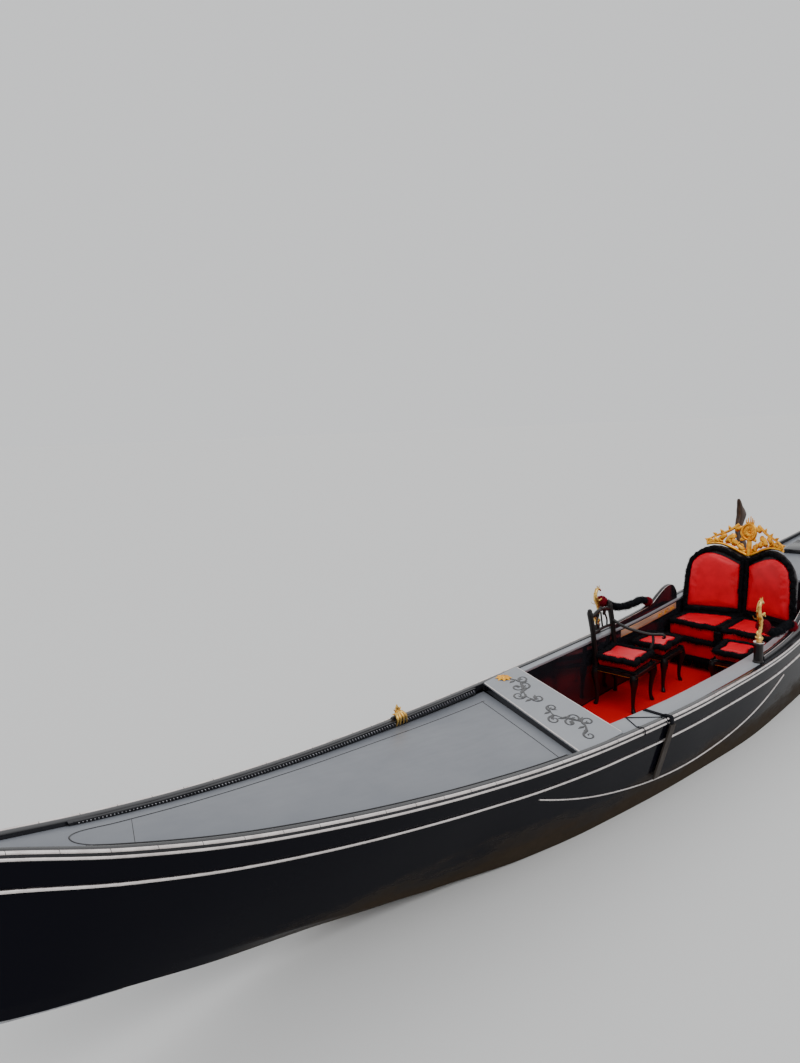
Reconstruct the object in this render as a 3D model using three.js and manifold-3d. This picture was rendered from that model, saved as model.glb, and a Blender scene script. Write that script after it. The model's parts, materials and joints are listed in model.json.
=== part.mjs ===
// A traditional Venetian gondola, afloat trim, fitted out for passengers.
// Millimetres. +X points to the bow, +Y to port, +Z up. The origin lies under the
// middle of the hull, on the flat of its bottom. The hull is lopsided on purpose:
// its port half is wider than its starboard half, as on every such boat.
import * as THREE from 'three';
import { mergeVertices } from 'three/addons/utils/BufferGeometryUtils.js';
import Module from 'manifold-3d';

const wasm = await Module();
wasm.setup();

// Driving dimensions of the hull.
const GAP = 0.3; // clearance between pieces that touch
const PLANK = 22; // side planking, measured across the boat
const BILGE = 34; // planking below the turn of the bilge, measured across the boat
const BOTTOM_PLATE = 24;
const RAIL_WIDTH = 46;
const RAIL_DEPTH = 40;
const PLANK_SETBACK = 8; // the rail stands proud of the planking by this
const TURN_HEIGHT = 55; // height of the turn of the bilge over the bottom
const FLOOR_INSET = 100; // the flat bottom is narrower than the turn by this
const GRID_STEP = 215; // spacing of the sections that carry every long piece
const BUTTS = [14, 24, 31]; // the grid sections at which the planking is butted
const BOW_END = 5120;
const STERN_END = -5200;

// Sections of the hull: position, half-breadth of the port and starboard rails,
// height of the rail and of the bottom, and port half-breadth at the turn of the bilge.
const STATIONS = [
  { x: 5120, port: 30, star: 28, sheer: 1195, bottom: 560, turn: 24 },
  { x: 4850, port: 103, star: 72, sheer: 1119, bottom: 450, turn: 30 },
  { x: 4500, port: 210, star: 148, sheer: 1012, bottom: 345, turn: 42 },
  { x: 4100, port: 318, star: 218, sheer: 917, bottom: 243, turn: 80 },
  { x: 3700, port: 408, star: 273, sheer: 847, bottom: 178, turn: 148 },
  { x: 3350, port: 478, star: 320, sheer: 797, bottom: 100, turn: 190 },
  { x: 3000, port: 541, star: 367, sheer: 756, bottom: 40, turn: 245 },
  { x: 2500, port: 617, star: 428, sheer: 709, bottom: 8, turn: 375 },
  { x: 2000, port: 675, star: 474, sheer: 678, bottom: 0, turn: 480 },
  { x: 1000, port: 753, star: 538, sheer: 644, bottom: 0, turn: 618 },
  { x: 0, port: 783, star: 567, sheer: 634, bottom: 0, turn: 690 },
  { x: -1000, port: 758, star: 568, sheer: 676, bottom: 0, turn: 670 },
  { x: -2000, port: 668, star: 520, sheer: 765, bottom: 8, turn: 560 },
  { x: -3000, port: 510, star: 395, sheer: 880, bottom: 85, turn: 350 },
  { x: -4000, port: 295, star: 215, sheer: 1050, bottom: 270, turn: 140 },
  { x: -4500, port: 185, star: 130, sheer: 1190, bottom: 430, turn: 75 },
  { x: -4900, port: 95, star: 72, sheer: 1350, bottom: 640, turn: 36 },
  { x: -5200, port: 30, star: 28, sheer: 1520, bottom: 930, turn: 24 },
];

// Decks, carpentry and ironwork.
const DECK_PLATE = 22;
const DECK_CAMBER = 26;
const FULL_CAMBER = 300; // half-breadth from which a deck has its whole camber
const STEM_HEAD_START = 4900;
const STERN_HEAD_START = -4980;
const PANEL_SKEW = 0.4; // the bow thwart stands askew, its port end further forward
const PANEL_AFT = 1640; // aft edge of the bow thwart on the centre line
const PANEL_FORE = 2020; // fore edge of the bow thwart on the centre line
const PANEL_THICK = 50;
const PANEL_PROUD = 4; // of the rail, at the middle of the thwart
const PANEL_CLEAR = 3; // between the thwart's ends and the rails
const SIDE_DECK_PORT = 180; // from the outside of the rail to the inner edge
const SIDE_DECK_STAR = 105;
const SIDE_DECK_THICK = 20;
const SIDE_DECK_DROP = 6; // below the top of the rail
const STERN_DECK_START = -2120;
const BULKHEAD = 18;
const FLOOR_TOP = 108;
const FLOOR_THICK = 18;
const CARPET_THICK = 8;
const CARPET_TOP = FLOOR_TOP + GAP + CARPET_THICK;
const REACH = 900; // further out than any half of the hull
const IRON = 12; // thickness of the bow and stern irons
const BURY = 4; // how far a piece runs into its neighbour before it is cut back to the gap

const COLOURS = {
  lacquer: { color: 0x07070a, roughness: 0.18, metalness: 0.0 },
  deck: { color: 0x0b0c10, roughness: 0.2, metalness: 0.0 },
  strake: { color: 0xb8b0a4, roughness: 0.3, metalness: 0.2 },
  bottom: { color: 0x241c16, roughness: 0.5, metalness: 0.0 },
  iron: { color: 0xb9bcc0, roughness: 0.25, metalness: 1.0 },
  brass: { color: 0xd29a35, roughness: 0.25, metalness: 1.0 },
  gilt: { color: 0xe09a1c, roughness: 0.35, metalness: 0.8 },
  satin: { color: 0xc8061a, roughness: 0.45, metalness: 0.0 },
  carpet: { color: 0xc00410, roughness: 0.9, metalness: 0.0 },
  walnut: { color: 0x2a1810, roughness: 0.35, metalness: 0.0 },
  floor: { color: 0x141110, roughness: 0.6, metalness: 0.0 },
  rubber: { color: 0x2c201a, roughness: 0.7, metalness: 0.0 },
  rope: { color: 0x1b1c26, roughness: 0.9, metalness: 0.0 },
};

const boat = new THREE.Group();
boat.name = 'gondola';

/** Adds one named mesh to the boat. */
function addPiece(name, geometry, finish) {
  const mesh = new THREE.Mesh(geometry, new THREE.MeshStandardMaterial(COLOURS[finish]));
  mesh.name = name;
  boat.add(mesh);
  return mesh;
}

/** A smooth function through the stations' values of one column. */
function smoothColumn(column) {
  const points = [...STATIONS].reverse();
  const xs = points.map((station) => station.x);
  const ys = points.map((station) => station[column]);
  const slopes = xs.map((_, i) => {
    if (i === 0) return (ys[1] - ys[0]) / (xs[1] - xs[0]);
    if (i === xs.length - 1) return (ys[i] - ys[i - 1]) / (xs[i] - xs[i - 1]);
    const before = (ys[i] - ys[i - 1]) / (xs[i] - xs[i - 1]);
    const after = (ys[i + 1] - ys[i]) / (xs[i + 1] - xs[i]);
    if (before * after <= 0) return 0;
    return (2 * before * after) / (before + after);
  });
  return (x) => {
    let i = xs.findIndex((value) => value > x) - 1;
    if (i < 0) i = x < xs[0] ? 0 : xs.length - 2;
    const step = xs[i + 1] - xs[i];
    const t = Math.min(Math.max((x - xs[i]) / step, 0), 1);
    const rise = ys[i] * (2 * t ** 3 - 3 * t ** 2 + 1) + ys[i + 1] * (3 * t ** 2 - 2 * t ** 3);
    return rise + step * (slopes[i] * (t ** 3 - 2 * t ** 2 + t) + slopes[i + 1] * (t ** 3 - t ** 2));
  };
}

const GRID = [STERN_END];
while (GRID[GRID.length - 1] + GRID_STEP < BOW_END) GRID.push(GRID[GRID.length - 1] + GRID_STEP);
GRID.push(BOW_END);

/** The same function, straight between the grid sections, so that long pieces share facets. */
function onGrid(smooth) {
  const values = GRID.map(smooth);
  return (x) => {
    let i = GRID.findIndex((value) => value > x) - 1;
    if (i < 0) i = x <= GRID[0] ? 0 : GRID.length - 2;
    const t = (x - GRID[i]) / (GRID[i + 1] - GRID[i]);
    return values[i] + (values[i + 1] - values[i]) * t;
  };
}

const sheer = onGrid(smoothColumn('sheer'));
const bottom = onGrid(smoothColumn('bottom'));
const turnPort = onGrid(smoothColumn('turn'));
const railPort = onGrid(smoothColumn('port'));
const railStar = onGrid(smoothColumn('star'));

/** Half-breadth of the rail on one side, side being +1 for port and -1 for starboard. */
const rail = (side, x) => (side > 0 ? railPort(x) : railStar(x));
/** Half-breadth at the turn of the bilge. */
const turn = (side, x) => turnPort(x) * (side > 0 ? 1 : railStar(x) / railPort(x));
/** Half-breadth of the flat bottom. */
const floorHalf = (side, x) => turn(side, x) - Math.min(FLOOR_INSET, 0.35 * turn(side, x));
const turnHeight = (x) => bottom(x) + TURN_HEIGHT;
const railBottom = (x) => sheer(x) - RAIL_DEPTH;
const plankTop = (side, x) => rail(side, x) - PLANK_SETBACK;
const thick = (whole, half) => Math.min(whole, 0.8 * half);

/** Half-breadth of the outside of the planking at a height. */
function outerHalf(side, x, z) {
  const t = (z - turnHeight(x)) / (railBottom(x) - turnHeight(x));
  return turn(side, x) + (plankTop(side, x) - turn(side, x)) * t;
}

/** Half-breadth of the inside of the planking at a height. */
function innerHalf(side, x, z) {
  const low = turn(side, x) - thick(PLANK, turn(side, x));
  const high = plankTop(side, x) - thick(PLANK, plankTop(side, x));
  const t = (z - turnHeight(x)) / (railBottom(x) - turnHeight(x));
  return low + (high - low) * t;
}

/** Sections from one end to the other, on the grid and at both ends. */
function sectionsBetween(from, to) {
  const inside = GRID.filter((x) => x > from + 1 && x < to - 1);
  return [from, ...inside, to];
}

/** A closed body through a row of rings, each a list of points in the same order. */
function loft(rings) {
  const count = rings[0].length;
  const positions = rings.flat().flatMap((point) => [point.x, point.y, point.z]);
  const index = [];
  for (let r = 0; r < rings.length - 1; r += 1) {
    for (let i = 0; i < count; i += 1) {
      const a = r * count + i;
      const b = r * count + ((i + 1) % count);
      index.push(a, b, b + count, a, b + count, a + count);
    }
  }
  addCap(index, rings[0], 0, true);
  addCap(index, rings[rings.length - 1], (rings.length - 1) * count, false);
  const geometry = new THREE.BufferGeometry();
  geometry.setAttribute('position', new THREE.Float32BufferAttribute(positions, 3));
  geometry.setIndex(index);
  return facingOut(geometry);
}

/** Closes one end of a loft, seen in the plane in which its ring has the largest area. */
function addCap(index, ring, start, reversed) {
  const views = [['y', 'z'], ['x', 'z'], ['x', 'y']].map(([first, second]) => (
    ring.map((point) => new THREE.Vector2(point[first], point[second]))
  ));
  const areaOf = (view) => Math.abs(THREE.ShapeUtils.area(view));
  const outline = views.sort((a, b) => areaOf(b) - areaOf(a))[0];
  const wound = Math.sign(THREE.ShapeUtils.area(outline));
  for (const [a, b, c] of THREE.ShapeUtils.triangulateShape(outline, [])) {
    const same = Math.sign(THREE.ShapeUtils.area([outline[a], outline[b], outline[c]])) === wound;
    if (same === reversed) index.push(start + a, start + c, start + b);
    else index.push(start + a, start + b, start + c);
  }
}

/** Turns a closed body's faces outwards. */
function facingOut(geometry) {
  if (volumeOf(geometry) > 0) return geometry;
  const index = geometry.index.array;
  for (let i = 0; i < index.length; i += 3) [index[i + 1], index[i + 2]] = [index[i + 2], index[i + 1]];
  return geometry;
}

/** Signed volume of a closed indexed geometry. */
function volumeOf(geometry) {
  const place = geometry.attributes.position;
  const corner = [0, 1, 2].map(() => new THREE.Vector3());
  let total = 0;
  for (let i = 0; i < geometry.index.count; i += 3) {
    corner.forEach((point, k) => point.fromBufferAttribute(place, geometry.index.getX(i + k)));
    total += corner[0].dot(corner[1].clone().cross(corner[2])) / 6;
  }
  return total;
}

/** Turns a geometry into a solid for cutting and joining. */
function solidOf(geometry) {
  const bare = geometry.clone();
  bare.deleteAttribute('normal');
  bare.deleteAttribute('uv');
  const merged = mergeVertices(bare, 1e-3);
  return new wasm.Manifold(new wasm.Mesh({
    numProp: 3,
    vertProperties: new Float32Array(merged.attributes.position.array),
    triVerts: new Uint32Array(merged.index.array),
  }));
}

/** Turns a solid back into a geometry. */
function geometryOf(solid) {
  const mesh = solid.getMesh();
  const geometry = new THREE.BufferGeometry();
  const places = new Float32Array((mesh.vertProperties.length / mesh.numProp) * 3);
  for (let i = 0; i < places.length / 3; i += 1) {
    for (let k = 0; k < 3; k += 1) places[3 * i + k] = mesh.vertProperties[mesh.numProp * i + k];
  }
  geometry.setAttribute('position', new THREE.BufferAttribute(places, 3));
  geometry.setIndex(new THREE.BufferAttribute(new Uint32Array(mesh.triVerts), 1));
  return geometry;
}

/** A body with its neighbours cut away; each neighbour comes grown by the gap. */
function trimmed(geometry, neighbours) {
  return geometryOf(neighbours.reduce((whole, cutter) => whole.subtract(cutter), solidOf(geometry)));
}

/** One body out of several that overlap. */
function joined(geometries) {
  const [first, ...rest] = geometries.map(solidOf);
  return geometryOf(rest.reduce((whole, piece) => whole.add(piece), first));
}

const at = (x, y, z) => new THREE.Vector3(x, y, z);

/** A box given by its lowest and highest corners. */
function boxBetween(low, high) {
  const geometry = new THREE.BoxGeometry(high[0] - low[0], high[1] - low[1], high[2] - low[2]);
  return geometry.translate((low[0] + high[0]) / 2, (low[1] + high[1]) / 2, (low[2] + high[2]) / 2);
}

/** A flat plate drawn in the X-Z plane, centred on y. */
function uprightPlate(outline, thickness, y = 0) {
  const shape = new THREE.Shape(outline.map(([x, z]) => new THREE.Vector2(x, z)));
  const geometry = new THREE.ExtrudeGeometry(shape, { depth: thickness, bevelEnabled: false });
  return geometry.rotateX(Math.PI / 2).translate(0, y + thickness / 2, 0);
}

/** A plate drawn in plan, from one height up to another. */
function levelPlate(outline, low, high) {
  const shape = new THREE.Shape(outline.map(([x, y]) => new THREE.Vector2(x, y)));
  return new THREE.ExtrudeGeometry(shape, { depth: high - low, bevelEnabled: false }).translate(0, 0, low);
}

/** A round bar along a list of points. */
function bar(points, radius, sides = 8, steps = 12) {
  const circle = new THREE.Shape().absarc(0, 0, radius, 0, 2 * Math.PI);
  const extrudePath = new THREE.CatmullRomCurve3(points, false, 'centripetal');
  const options = { extrudePath, steps, curveSegments: sides / 2, bevelEnabled: false };
  return new THREE.ExtrudeGeometry(circle, options);
}

// The hull: a flat rockered bottom between two sides of planking.
function hullBottom(grow = 0) {
  const rings = sectionsBetween(STERN_END, BOW_END).map((x) => {
    const low = bottom(x) - grow;
    const high = bottom(x) + BOTTOM_PLATE + grow;
    const port = floorHalf(1, x) - thick(BILGE, floorHalf(1, x)) - GAP;
    const star = floorHalf(-1, x) - thick(BILGE, floorHalf(-1, x)) - GAP;
    return [at(x, port, low), at(x, port, high), at(x, -star, high), at(x, -star, low)];
  });
  return loft(rings);
}

/** A length of one side's planking, or with a growth the space that its neighbours keep clear of. */
function sidePlanking(side, grow = 0, from = STERN_END, to = BOW_END) {
  const rings = sectionsBetween(from, to).map((x) => {
    const foot = floorHalf(side, x);
    const bend = turn(side, x);
    const top = plankTop(side, x);
    const section = [
      [foot + grow, bottom(x) - grow],
      [bend + grow, turnHeight(x)],
      [top + grow, railBottom(x) - GAP + grow],
      [top - thick(PLANK, top) - grow, railBottom(x) - GAP + grow],
      [bend - thick(PLANK, bend) - grow, turnHeight(x)],
      [foot - thick(BILGE, foot) - grow, bottom(x) + BOTTOM_PLATE + GAP],
      [foot - thick(BILGE, foot) - grow, bottom(x) - grow],
    ];
    return section.map(([y, z]) => at(x, side * y, z));
  });
  return loft(rings);
}

const SIDES = [['port', 1], ['starboard', -1]];
const PLANKING_LENGTHS = ['stern', 'aft', 'fore', 'bow'];
const BUTT_PLACES = BUTTS.map((i) => GRID[i]);
addPiece('hull_bottom', hullBottom(), 'bottom');
for (const [word, side] of SIDES) {
  PLANKING_LENGTHS.forEach((length, i) => {
    const from = i === 0 ? STERN_END : BUTT_PLACES[i - 1] + GAP;
    const to = BUTT_PLACES[i] ?? BOW_END;
    addPiece(`side_planking_${word}_${length}`, sidePlanking(side, 0, from, to), 'lacquer');
  });
}
const plankingSpace = { 1: solidOf(sidePlanking(1, GAP)), '-1': solidOf(sidePlanking(-1, GAP)) };

const railInner = (side, x) => Math.max(rail(side, x) - RAIL_WIDTH, 0.25 * rail(side, x));

// The rails: a double bead along the top of each side, as [in from the edge, down from the top].
const RAIL_BEADS = [[0, 32], [0, 22], [5, 17], [1, 12], [4, 2], [10, 0]];
const RAIL_CHAMFER = { across: 6, down: 8 };
function gunwaleRail(side, grow = 0) {
  const rings = sectionsBetween(STERN_HEAD_START, STEM_HEAD_START).map((x) => {
    const edge = rail(side, x);
    const inner = railInner(side, x);
    const top = sheer(x);
    const section = [
      [edge - PLANK_SETBACK, top - RAIL_DEPTH - grow],
      ...RAIL_BEADS.map(([inwards, down]) => [edge - inwards, top - down]),
      [inner + RAIL_CHAMFER.across, top + grow],
      [inner - grow, top - RAIL_CHAMFER.down],
      [inner - grow, top - RAIL_DEPTH - grow],
    ];
    return section.map(([y, z]) => at(x, side * y, z));
  });
  return loft(rings);
}

/** A half-round bead along the outside of one side, at a height for each section. */
function sideBead(side, heightAt, { aft, fore, half, proud }) {
  const shoulder = { out: 0.8 * proud, up: 0.6 * half };
  const rings = sectionsBetween(aft, fore).map((x) => {
    const middle = heightAt(x);
    const touching = (z) => outerHalf(side, x, z) - BURY;
    const section = [
      [touching(middle - half), middle - half],
      [outerHalf(side, x, middle) + shoulder.out, middle - shoulder.up],
      [outerHalf(side, x, middle) + proud, middle],
      [outerHalf(side, x, middle) + shoulder.out, middle + shoulder.up],
      [touching(middle + half), middle + half],
    ];
    return section.map(([y, z]) => at(x, side * y, z));
  });
  return trimmed(loft(rings), [plankingSpace[side]]);
}

// The rub strake runs along below the rail. The lower one hangs under it in a shallow arc amidships.
const RUB_STRAKE = { aft: -5000, fore: 5000, drop: 150, half: 9, proud: 12 };
const LOWER_STRAKE = { aft: -250, fore: 2550, drop: 210, deepest: 462, half: 6, proud: 8 };
const rubStrakeHeight = (x) => sheer(x) - RUB_STRAKE.drop;
function lowerStrakeHeight(x) {
  const middle = (LOWER_STRAKE.fore + LOWER_STRAKE.aft) / 2;
  const t = (x - middle) / ((LOWER_STRAKE.fore - LOWER_STRAKE.aft) / 2);
  const sag = (LOWER_STRAKE.deepest - LOWER_STRAKE.drop) * (1 - t * t);
  return sheer(x) - LOWER_STRAKE.drop - sag;
}

const railSpace = {};
for (const [word, side] of SIDES) {
  railSpace[side] = solidOf(gunwaleRail(side, GAP));
  addPiece(`gunwale_rail_${word}`, gunwaleRail(side), 'lacquer');
  addPiece(`rub_strake_${word}`, sideBead(side, rubStrakeHeight, RUB_STRAKE), 'strake');
  addPiece(`lower_strake_${word}`, sideBead(side, lowerStrakeHeight, LOWER_STRAKE), 'strake');
}

// The ends: blocks that close the planking at the deck.
const HEAD = { rise: 2, taper: 6 };
function endHead(from, to) {
  const rings = sectionsBetween(from, to).map((x) => {
    const low = railBottom(x);
    const high = sheer(x) + HEAD.rise;
    const port = railPort(x);
    const star = railStar(x);
    return [at(x, port, low), at(x, port - HEAD.taper, high), at(x, HEAD.taper - star, high), at(x, -star, low)];
  });
  return loft(rings);
}
addPiece('stem_head', endHead(STEM_HEAD_START + GAP, BOW_END), 'lacquer');
addPiece('stern_head', endHead(STERN_END, STERN_HEAD_START - GAP), 'lacquer');

// Decks fore and aft, cambered, let in below the rails.
const DECK_DROP = { middle: 50, ends: 20, from: 2000, over: 2600 };
/** How far the deck's edge lies under the top of the rail. */
function deckDrop(x) {
  const t = Math.min(Math.max((Math.abs(x) - DECK_DROP.from) / DECK_DROP.over, 0), 1);
  return DECK_DROP.middle + (DECK_DROP.ends - DECK_DROP.middle) * t;
}
/** How far the deck rises over its edge, at a share of its half-breadth; a narrow deck is flatter. */
const deckRise = (share, half) => DECK_CAMBER * (1 - share * share) * Math.min(1, half / FULL_CAMBER);

/** A cambered deck whose ends may stand askew by a slope across the boat. */
function camberedDeck(from, to, skewFrom, skewTo, grow = 0) {
  const columns = [-1, -0.75, -0.4, 0, 0.4, 0.75, 1];
  const length = to - from;
  const rings = sectionsBetween(from, to).map((x) => {
    const share = (x - from) / length;
    const top = [];
    const under = [];
    for (const u of columns) {
      const side = u < 0 ? -1 : 1;
      const place = (half) => x + side * Math.abs(u) * half * (skewFrom * (1 - share) + skewTo * share);
      let px = x;
      let half = 0;
      for (let k = 0; k < 4; k += 1) {
        const low = sheer(px) - deckDrop(px) - DECK_PLATE;
        half = Math.min(innerHalf(side, px, low), railInner(side, px)) + BURY;
        px = place(half);
      }
      const z = sheer(px) - deckDrop(px) + deckRise(u, half);
      top.push(at(px, side * Math.abs(u) * half, z + grow));
      under.push(at(px, side * Math.abs(u) * half, z - DECK_PLATE - grow));
    }
    return [...top, ...under.reverse()];
  });
  return loft(rings);
}

const hullSpaces = [plankingSpace[1], plankingSpace[-1], railSpace[1], railSpace[-1]];
const FOREDECK_AFT = PANEL_FORE + 2;
const foredeckEnds = [FOREDECK_AFT, STEM_HEAD_START - GAP, PANEL_SKEW, 0];
const sternDeckEnds = [STERN_HEAD_START + GAP, STERN_DECK_START + BULKHEAD, 0, 0];
addPiece('foredeck', trimmed(camberedDeck(...foredeckEnds), hullSpaces), 'deck');
addPiece('stern_deck', trimmed(camberedDeck(...sternDeckEnds), hullSpaces), 'deck');
const foredeckSpace = solidOf(camberedDeck(...foredeckEnds, GAP));
const sternDeckSpace = solidOf(camberedDeck(...sternDeckEnds, GAP));

// A sunk panel outlined on the foredeck, with a rounded nose towards the bow.
const INSET = {
  edge: { 1: 40, '-1': 128 }, taper: { 1: 0, '-1': 0.45 }, fromAft: 96, nose: 4585, rounded: 0.07, proud: 2,
};
function foredeckPanel() {
  const aft = FOREDECK_AFT + INSET.fromAft;
  const rings = sectionsBetween(aft, INSET.nose).map((x) => {
    const share = (x - aft) / (INSET.nose - aft);
    const intoNose = Math.max((share - 1 + INSET.rounded) / INSET.rounded, 0);
    const roundOff = Math.sqrt(Math.max(1 - intoNose ** 2, 0.04));
    const top = [];
    const under = [];
    for (const u of [-1, -0.6, 0, 0.6, 1]) {
      const side = u < 0 ? -1 : 1;
      const half = (railInner(side, x) - INSET.edge[side] * (1 - INSET.taper[side] * share)) * roundOff;
      const px = x + side * Math.abs(u) * half * PANEL_SKEW * (1 - share);
      const inner = railInner(side, px);
      const z = sheer(px) - deckDrop(px) + deckRise((Math.abs(u) * half) / inner, inner);
      top.push(at(px, side * Math.abs(u) * half, z + INSET.proud));
      under.push(at(px, side * Math.abs(u) * half, z - BURY));
    }
    return [...top, ...under.reverse()];
  });
  return trimmed(loft(rings), [foredeckSpace]);
}
addPiece('foredeck_panel', foredeckPanel(), 'deck');

// Beaded mouldings stand on the foredeck against the rails.
const MOULDING = { thick: 12, aft: 2150, askew: 200, fore: 4600, belowRail: 3, chamfer: 4 };
for (const [word, side] of SIDES) {
  const rings = sectionsBetween(MOULDING.aft + side * MOULDING.askew, MOULDING.fore).map((x) => {
    const outer = railInner(side, x) + BURY;
    const inner = railInner(side, x) - MOULDING.thick;
    const low = sheer(x) - deckDrop(x) - BURY;
    const high = sheer(x) - MOULDING.belowRail;
    const section = [[outer, low], [outer, high], [inner, high - MOULDING.chamfer], [inner, low]];
    return section.map(([y, z]) => at(x, side * y, z));
  });
  addPiece(`foredeck_moulding_${word}`, trimmed(loft(rings), [...hullSpaces, foredeckSpace]), 'lacquer');
}

// The bow thwart: a thick board that stands proud of the foredeck, askew.
function thwartOutline(fore, aft, clear) {
  return [[fore, 1], [aft, 1], [aft, -1], [fore, -1]].map(([edge, side]) => {
    let x = edge;
    for (let k = 0; k < 6; k += 1) x = edge + PANEL_SKEW * side * (railInner(side, x) - clear);
    return [x, side * (railInner(side, x) - clear)];
  });
}
const PANEL_TOP = sheer((PANEL_AFT + PANEL_FORE) / 2) + PANEL_PROUD;
const PANEL_LOW = PANEL_TOP - PANEL_THICK;
const thwart = levelPlate(thwartOutline(PANEL_FORE, PANEL_AFT, PANEL_CLEAR), PANEL_LOW, PANEL_TOP);
addPiece('bow_thwart', thwart, 'deck');

// The room inside the planking and between the rails, from under one deck to under the other.
const ROOM = { aft: -2220, fore: 2700, overRail: 60 };
function hullRoom() {
  const rings = sectionsBetween(ROOM.aft, ROOM.fore).map((x) => {
    const ring = [];
    for (const side of [1, -1]) {
      const under = innerHalf(side, x, railBottom(x)) - GAP;
      const between = Math.min(railInner(side, x) - GAP, under);
      const half = [
        [between, sheer(x) + ROOM.overRail],
        [between, railBottom(x) - 2 * GAP],
        [under, railBottom(x) - 2 * GAP - 1],
        [innerHalf(side, x, turnHeight(x)) - GAP, turnHeight(x)],
        [floorHalf(side, x) - BILGE - GAP, bottom(x) + BOTTOM_PLATE + 2 * GAP],
      ].map(([y, z]) => at(x, side * y, z));
      ring.push(...(side > 0 ? half : half.reverse()));
    }
    return ring;
  });
  return solidOf(loft(rings));
}
const BOW_BULKHEAD_X = PANEL_AFT + 2;
/** A board across the boat, askew, from a place on the centre line. */
function crossBoard(x, skew, thickness, low, high) {
  const outline = [[x + REACH * skew, REACH], [x - REACH * skew, -REACH]];
  const far = outline.map(([px, py]) => [px + thickness, py]).reverse();
  return levelPlate([...outline, ...far], low, high);
}
const room = hullSpaces.reduce((space, cutter) => space.subtract(cutter), hullRoom());
const bowBoard = solidOf(crossBoard(BOW_BULKHEAD_X, PANEL_SKEW, BULKHEAD, 0, PANEL_LOW - GAP));
addPiece('bow_bulkhead', geometryOf(bowBoard.intersect(room)), 'lacquer');
const sternBoardTop = sheer(STERN_DECK_START) - deckDrop(STERN_DECK_START);
const sternBoard = solidOf(crossBoard(STERN_DECK_START, 0, BULKHEAD, 0, sternBoardTop));
addPiece('stern_bulkhead', trimmed(geometryOf(sternBoard.intersect(room)), [sternDeckSpace]), 'lacquer');

const AFT_FACE = STERN_DECK_START + BULKHEAD + GAP;
/** What of a body lies in the room, between the stern bulkhead and a skewed line near the bow thwart. */
function inRoom(geometry, x) {
  const askew = REACH * PANEL_SKEW;
  const outline = [[AFT_FACE, REACH], [AFT_FACE, -REACH], [x - askew, -REACH], [x + askew, REACH]];
  const between = solidOf(levelPlate(outline, 0, REACH));
  return geometryOf(solidOf(geometry).intersect(room).intersect(between));
}

// Floorboards on three bearers, and the carpet over them.
const FLOOR = { aft: -1900, fore: 2500 };
const BEARERS = { middles: [-240, 40, 320], half: 20, aft: -1300, fore: 1400, into: 2 };
function floorboards() {
  const low = FLOOR_TOP - FLOOR_THICK;
  const rings = sectionsBetween(FLOOR.aft, FLOOR.fore).map((x) => {
    const port = innerHalf(1, x, low) + BURY;
    const star = innerHalf(-1, x, low) + BURY;
    return [at(x, port, low), at(x, port, FLOOR_TOP), at(x, -star, FLOOR_TOP), at(x, -star, low)];
  });
  const bearers = BEARERS.middles.map((y) => boxBetween(
    [BEARERS.aft, y - BEARERS.half, BOTTOM_PLATE + GAP],
    [BEARERS.fore, y + BEARERS.half, low + BEARERS.into],
  ));
  return inRoom(joined([loft(rings), ...bearers]), BOW_BULKHEAD_X - GAP);
}
addPiece('floorboards', floorboards(), 'floor');

const sideDeckWidth = { 1: SIDE_DECK_PORT, '-1': SIDE_DECK_STAR };
const deckInnerEdge = (side, x) => rail(side, x) - sideDeckWidth[side];
const COAMING = { thick: 16, aft: -1890 };
const CARPET = { aft: -1860, clear: 4, fromBulkhead: 8 };
function carpet() {
  const rings = sectionsBetween(CARPET.aft, FLOOR.fore).map((x) => {
    const port = deckInnerEdge(1, x) - CARPET.clear;
    const star = deckInnerEdge(-1, x) - CARPET.clear;
    const low = FLOOR_TOP + GAP;
    return [at(x, port, low), at(x, port, CARPET_TOP), at(x, -star, CARPET_TOP), at(x, -star, low)];
  });
  return inRoom(loft(rings), BOW_BULKHEAD_X - CARPET.fromBulkhead);
}
addPiece('carpet', carpet(), 'carpet');

// Side decks along the well, with a coaming board under each inner edge.
for (const [word, side] of SIDES) {
  const deckRings = sectionsBetween(ROOM.aft, ROOM.fore).map((x) => {
    const high = sheer(x) - SIDE_DECK_DROP;
    const section = [
      [deckInnerEdge(side, x), high - SIDE_DECK_THICK],
      [deckInnerEdge(side, x), high],
      [railInner(side, x) + BURY, high],
      [railInner(side, x) + BURY, high - SIDE_DECK_THICK],
    ];
    return section.map(([y, z]) => at(x, side * y, z));
  });
  addPiece(`side_deck_${word}`, inRoom(loft(deckRings), PANEL_AFT - GAP), 'deck');
  const boardRings = sectionsBetween(COAMING.aft, FLOOR.fore).map((x) => {
    const low = FLOOR_TOP + GAP;
    const high = sheer(x) - SIDE_DECK_DROP - SIDE_DECK_THICK - GAP;
    const inner = deckInnerEdge(side, x);
    const outer = inner + COAMING.thick;
    const section = [[inner, low], [inner, high], [outer, high], [outer, low]];
    return section.map(([y, z]) => at(x, side * y, z));
  });
  addPiece(`coaming_${word}`, inRoom(loft(boardRings), PANEL_AFT - GAP), 'lacquer');
}

/** Places along the hull's bottom between two stations, shifted in height. */
const alongBottom = (from, to, shift) => sectionsBetween(from, to).map((x) => [x, bottom(x) + shift]);

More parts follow.
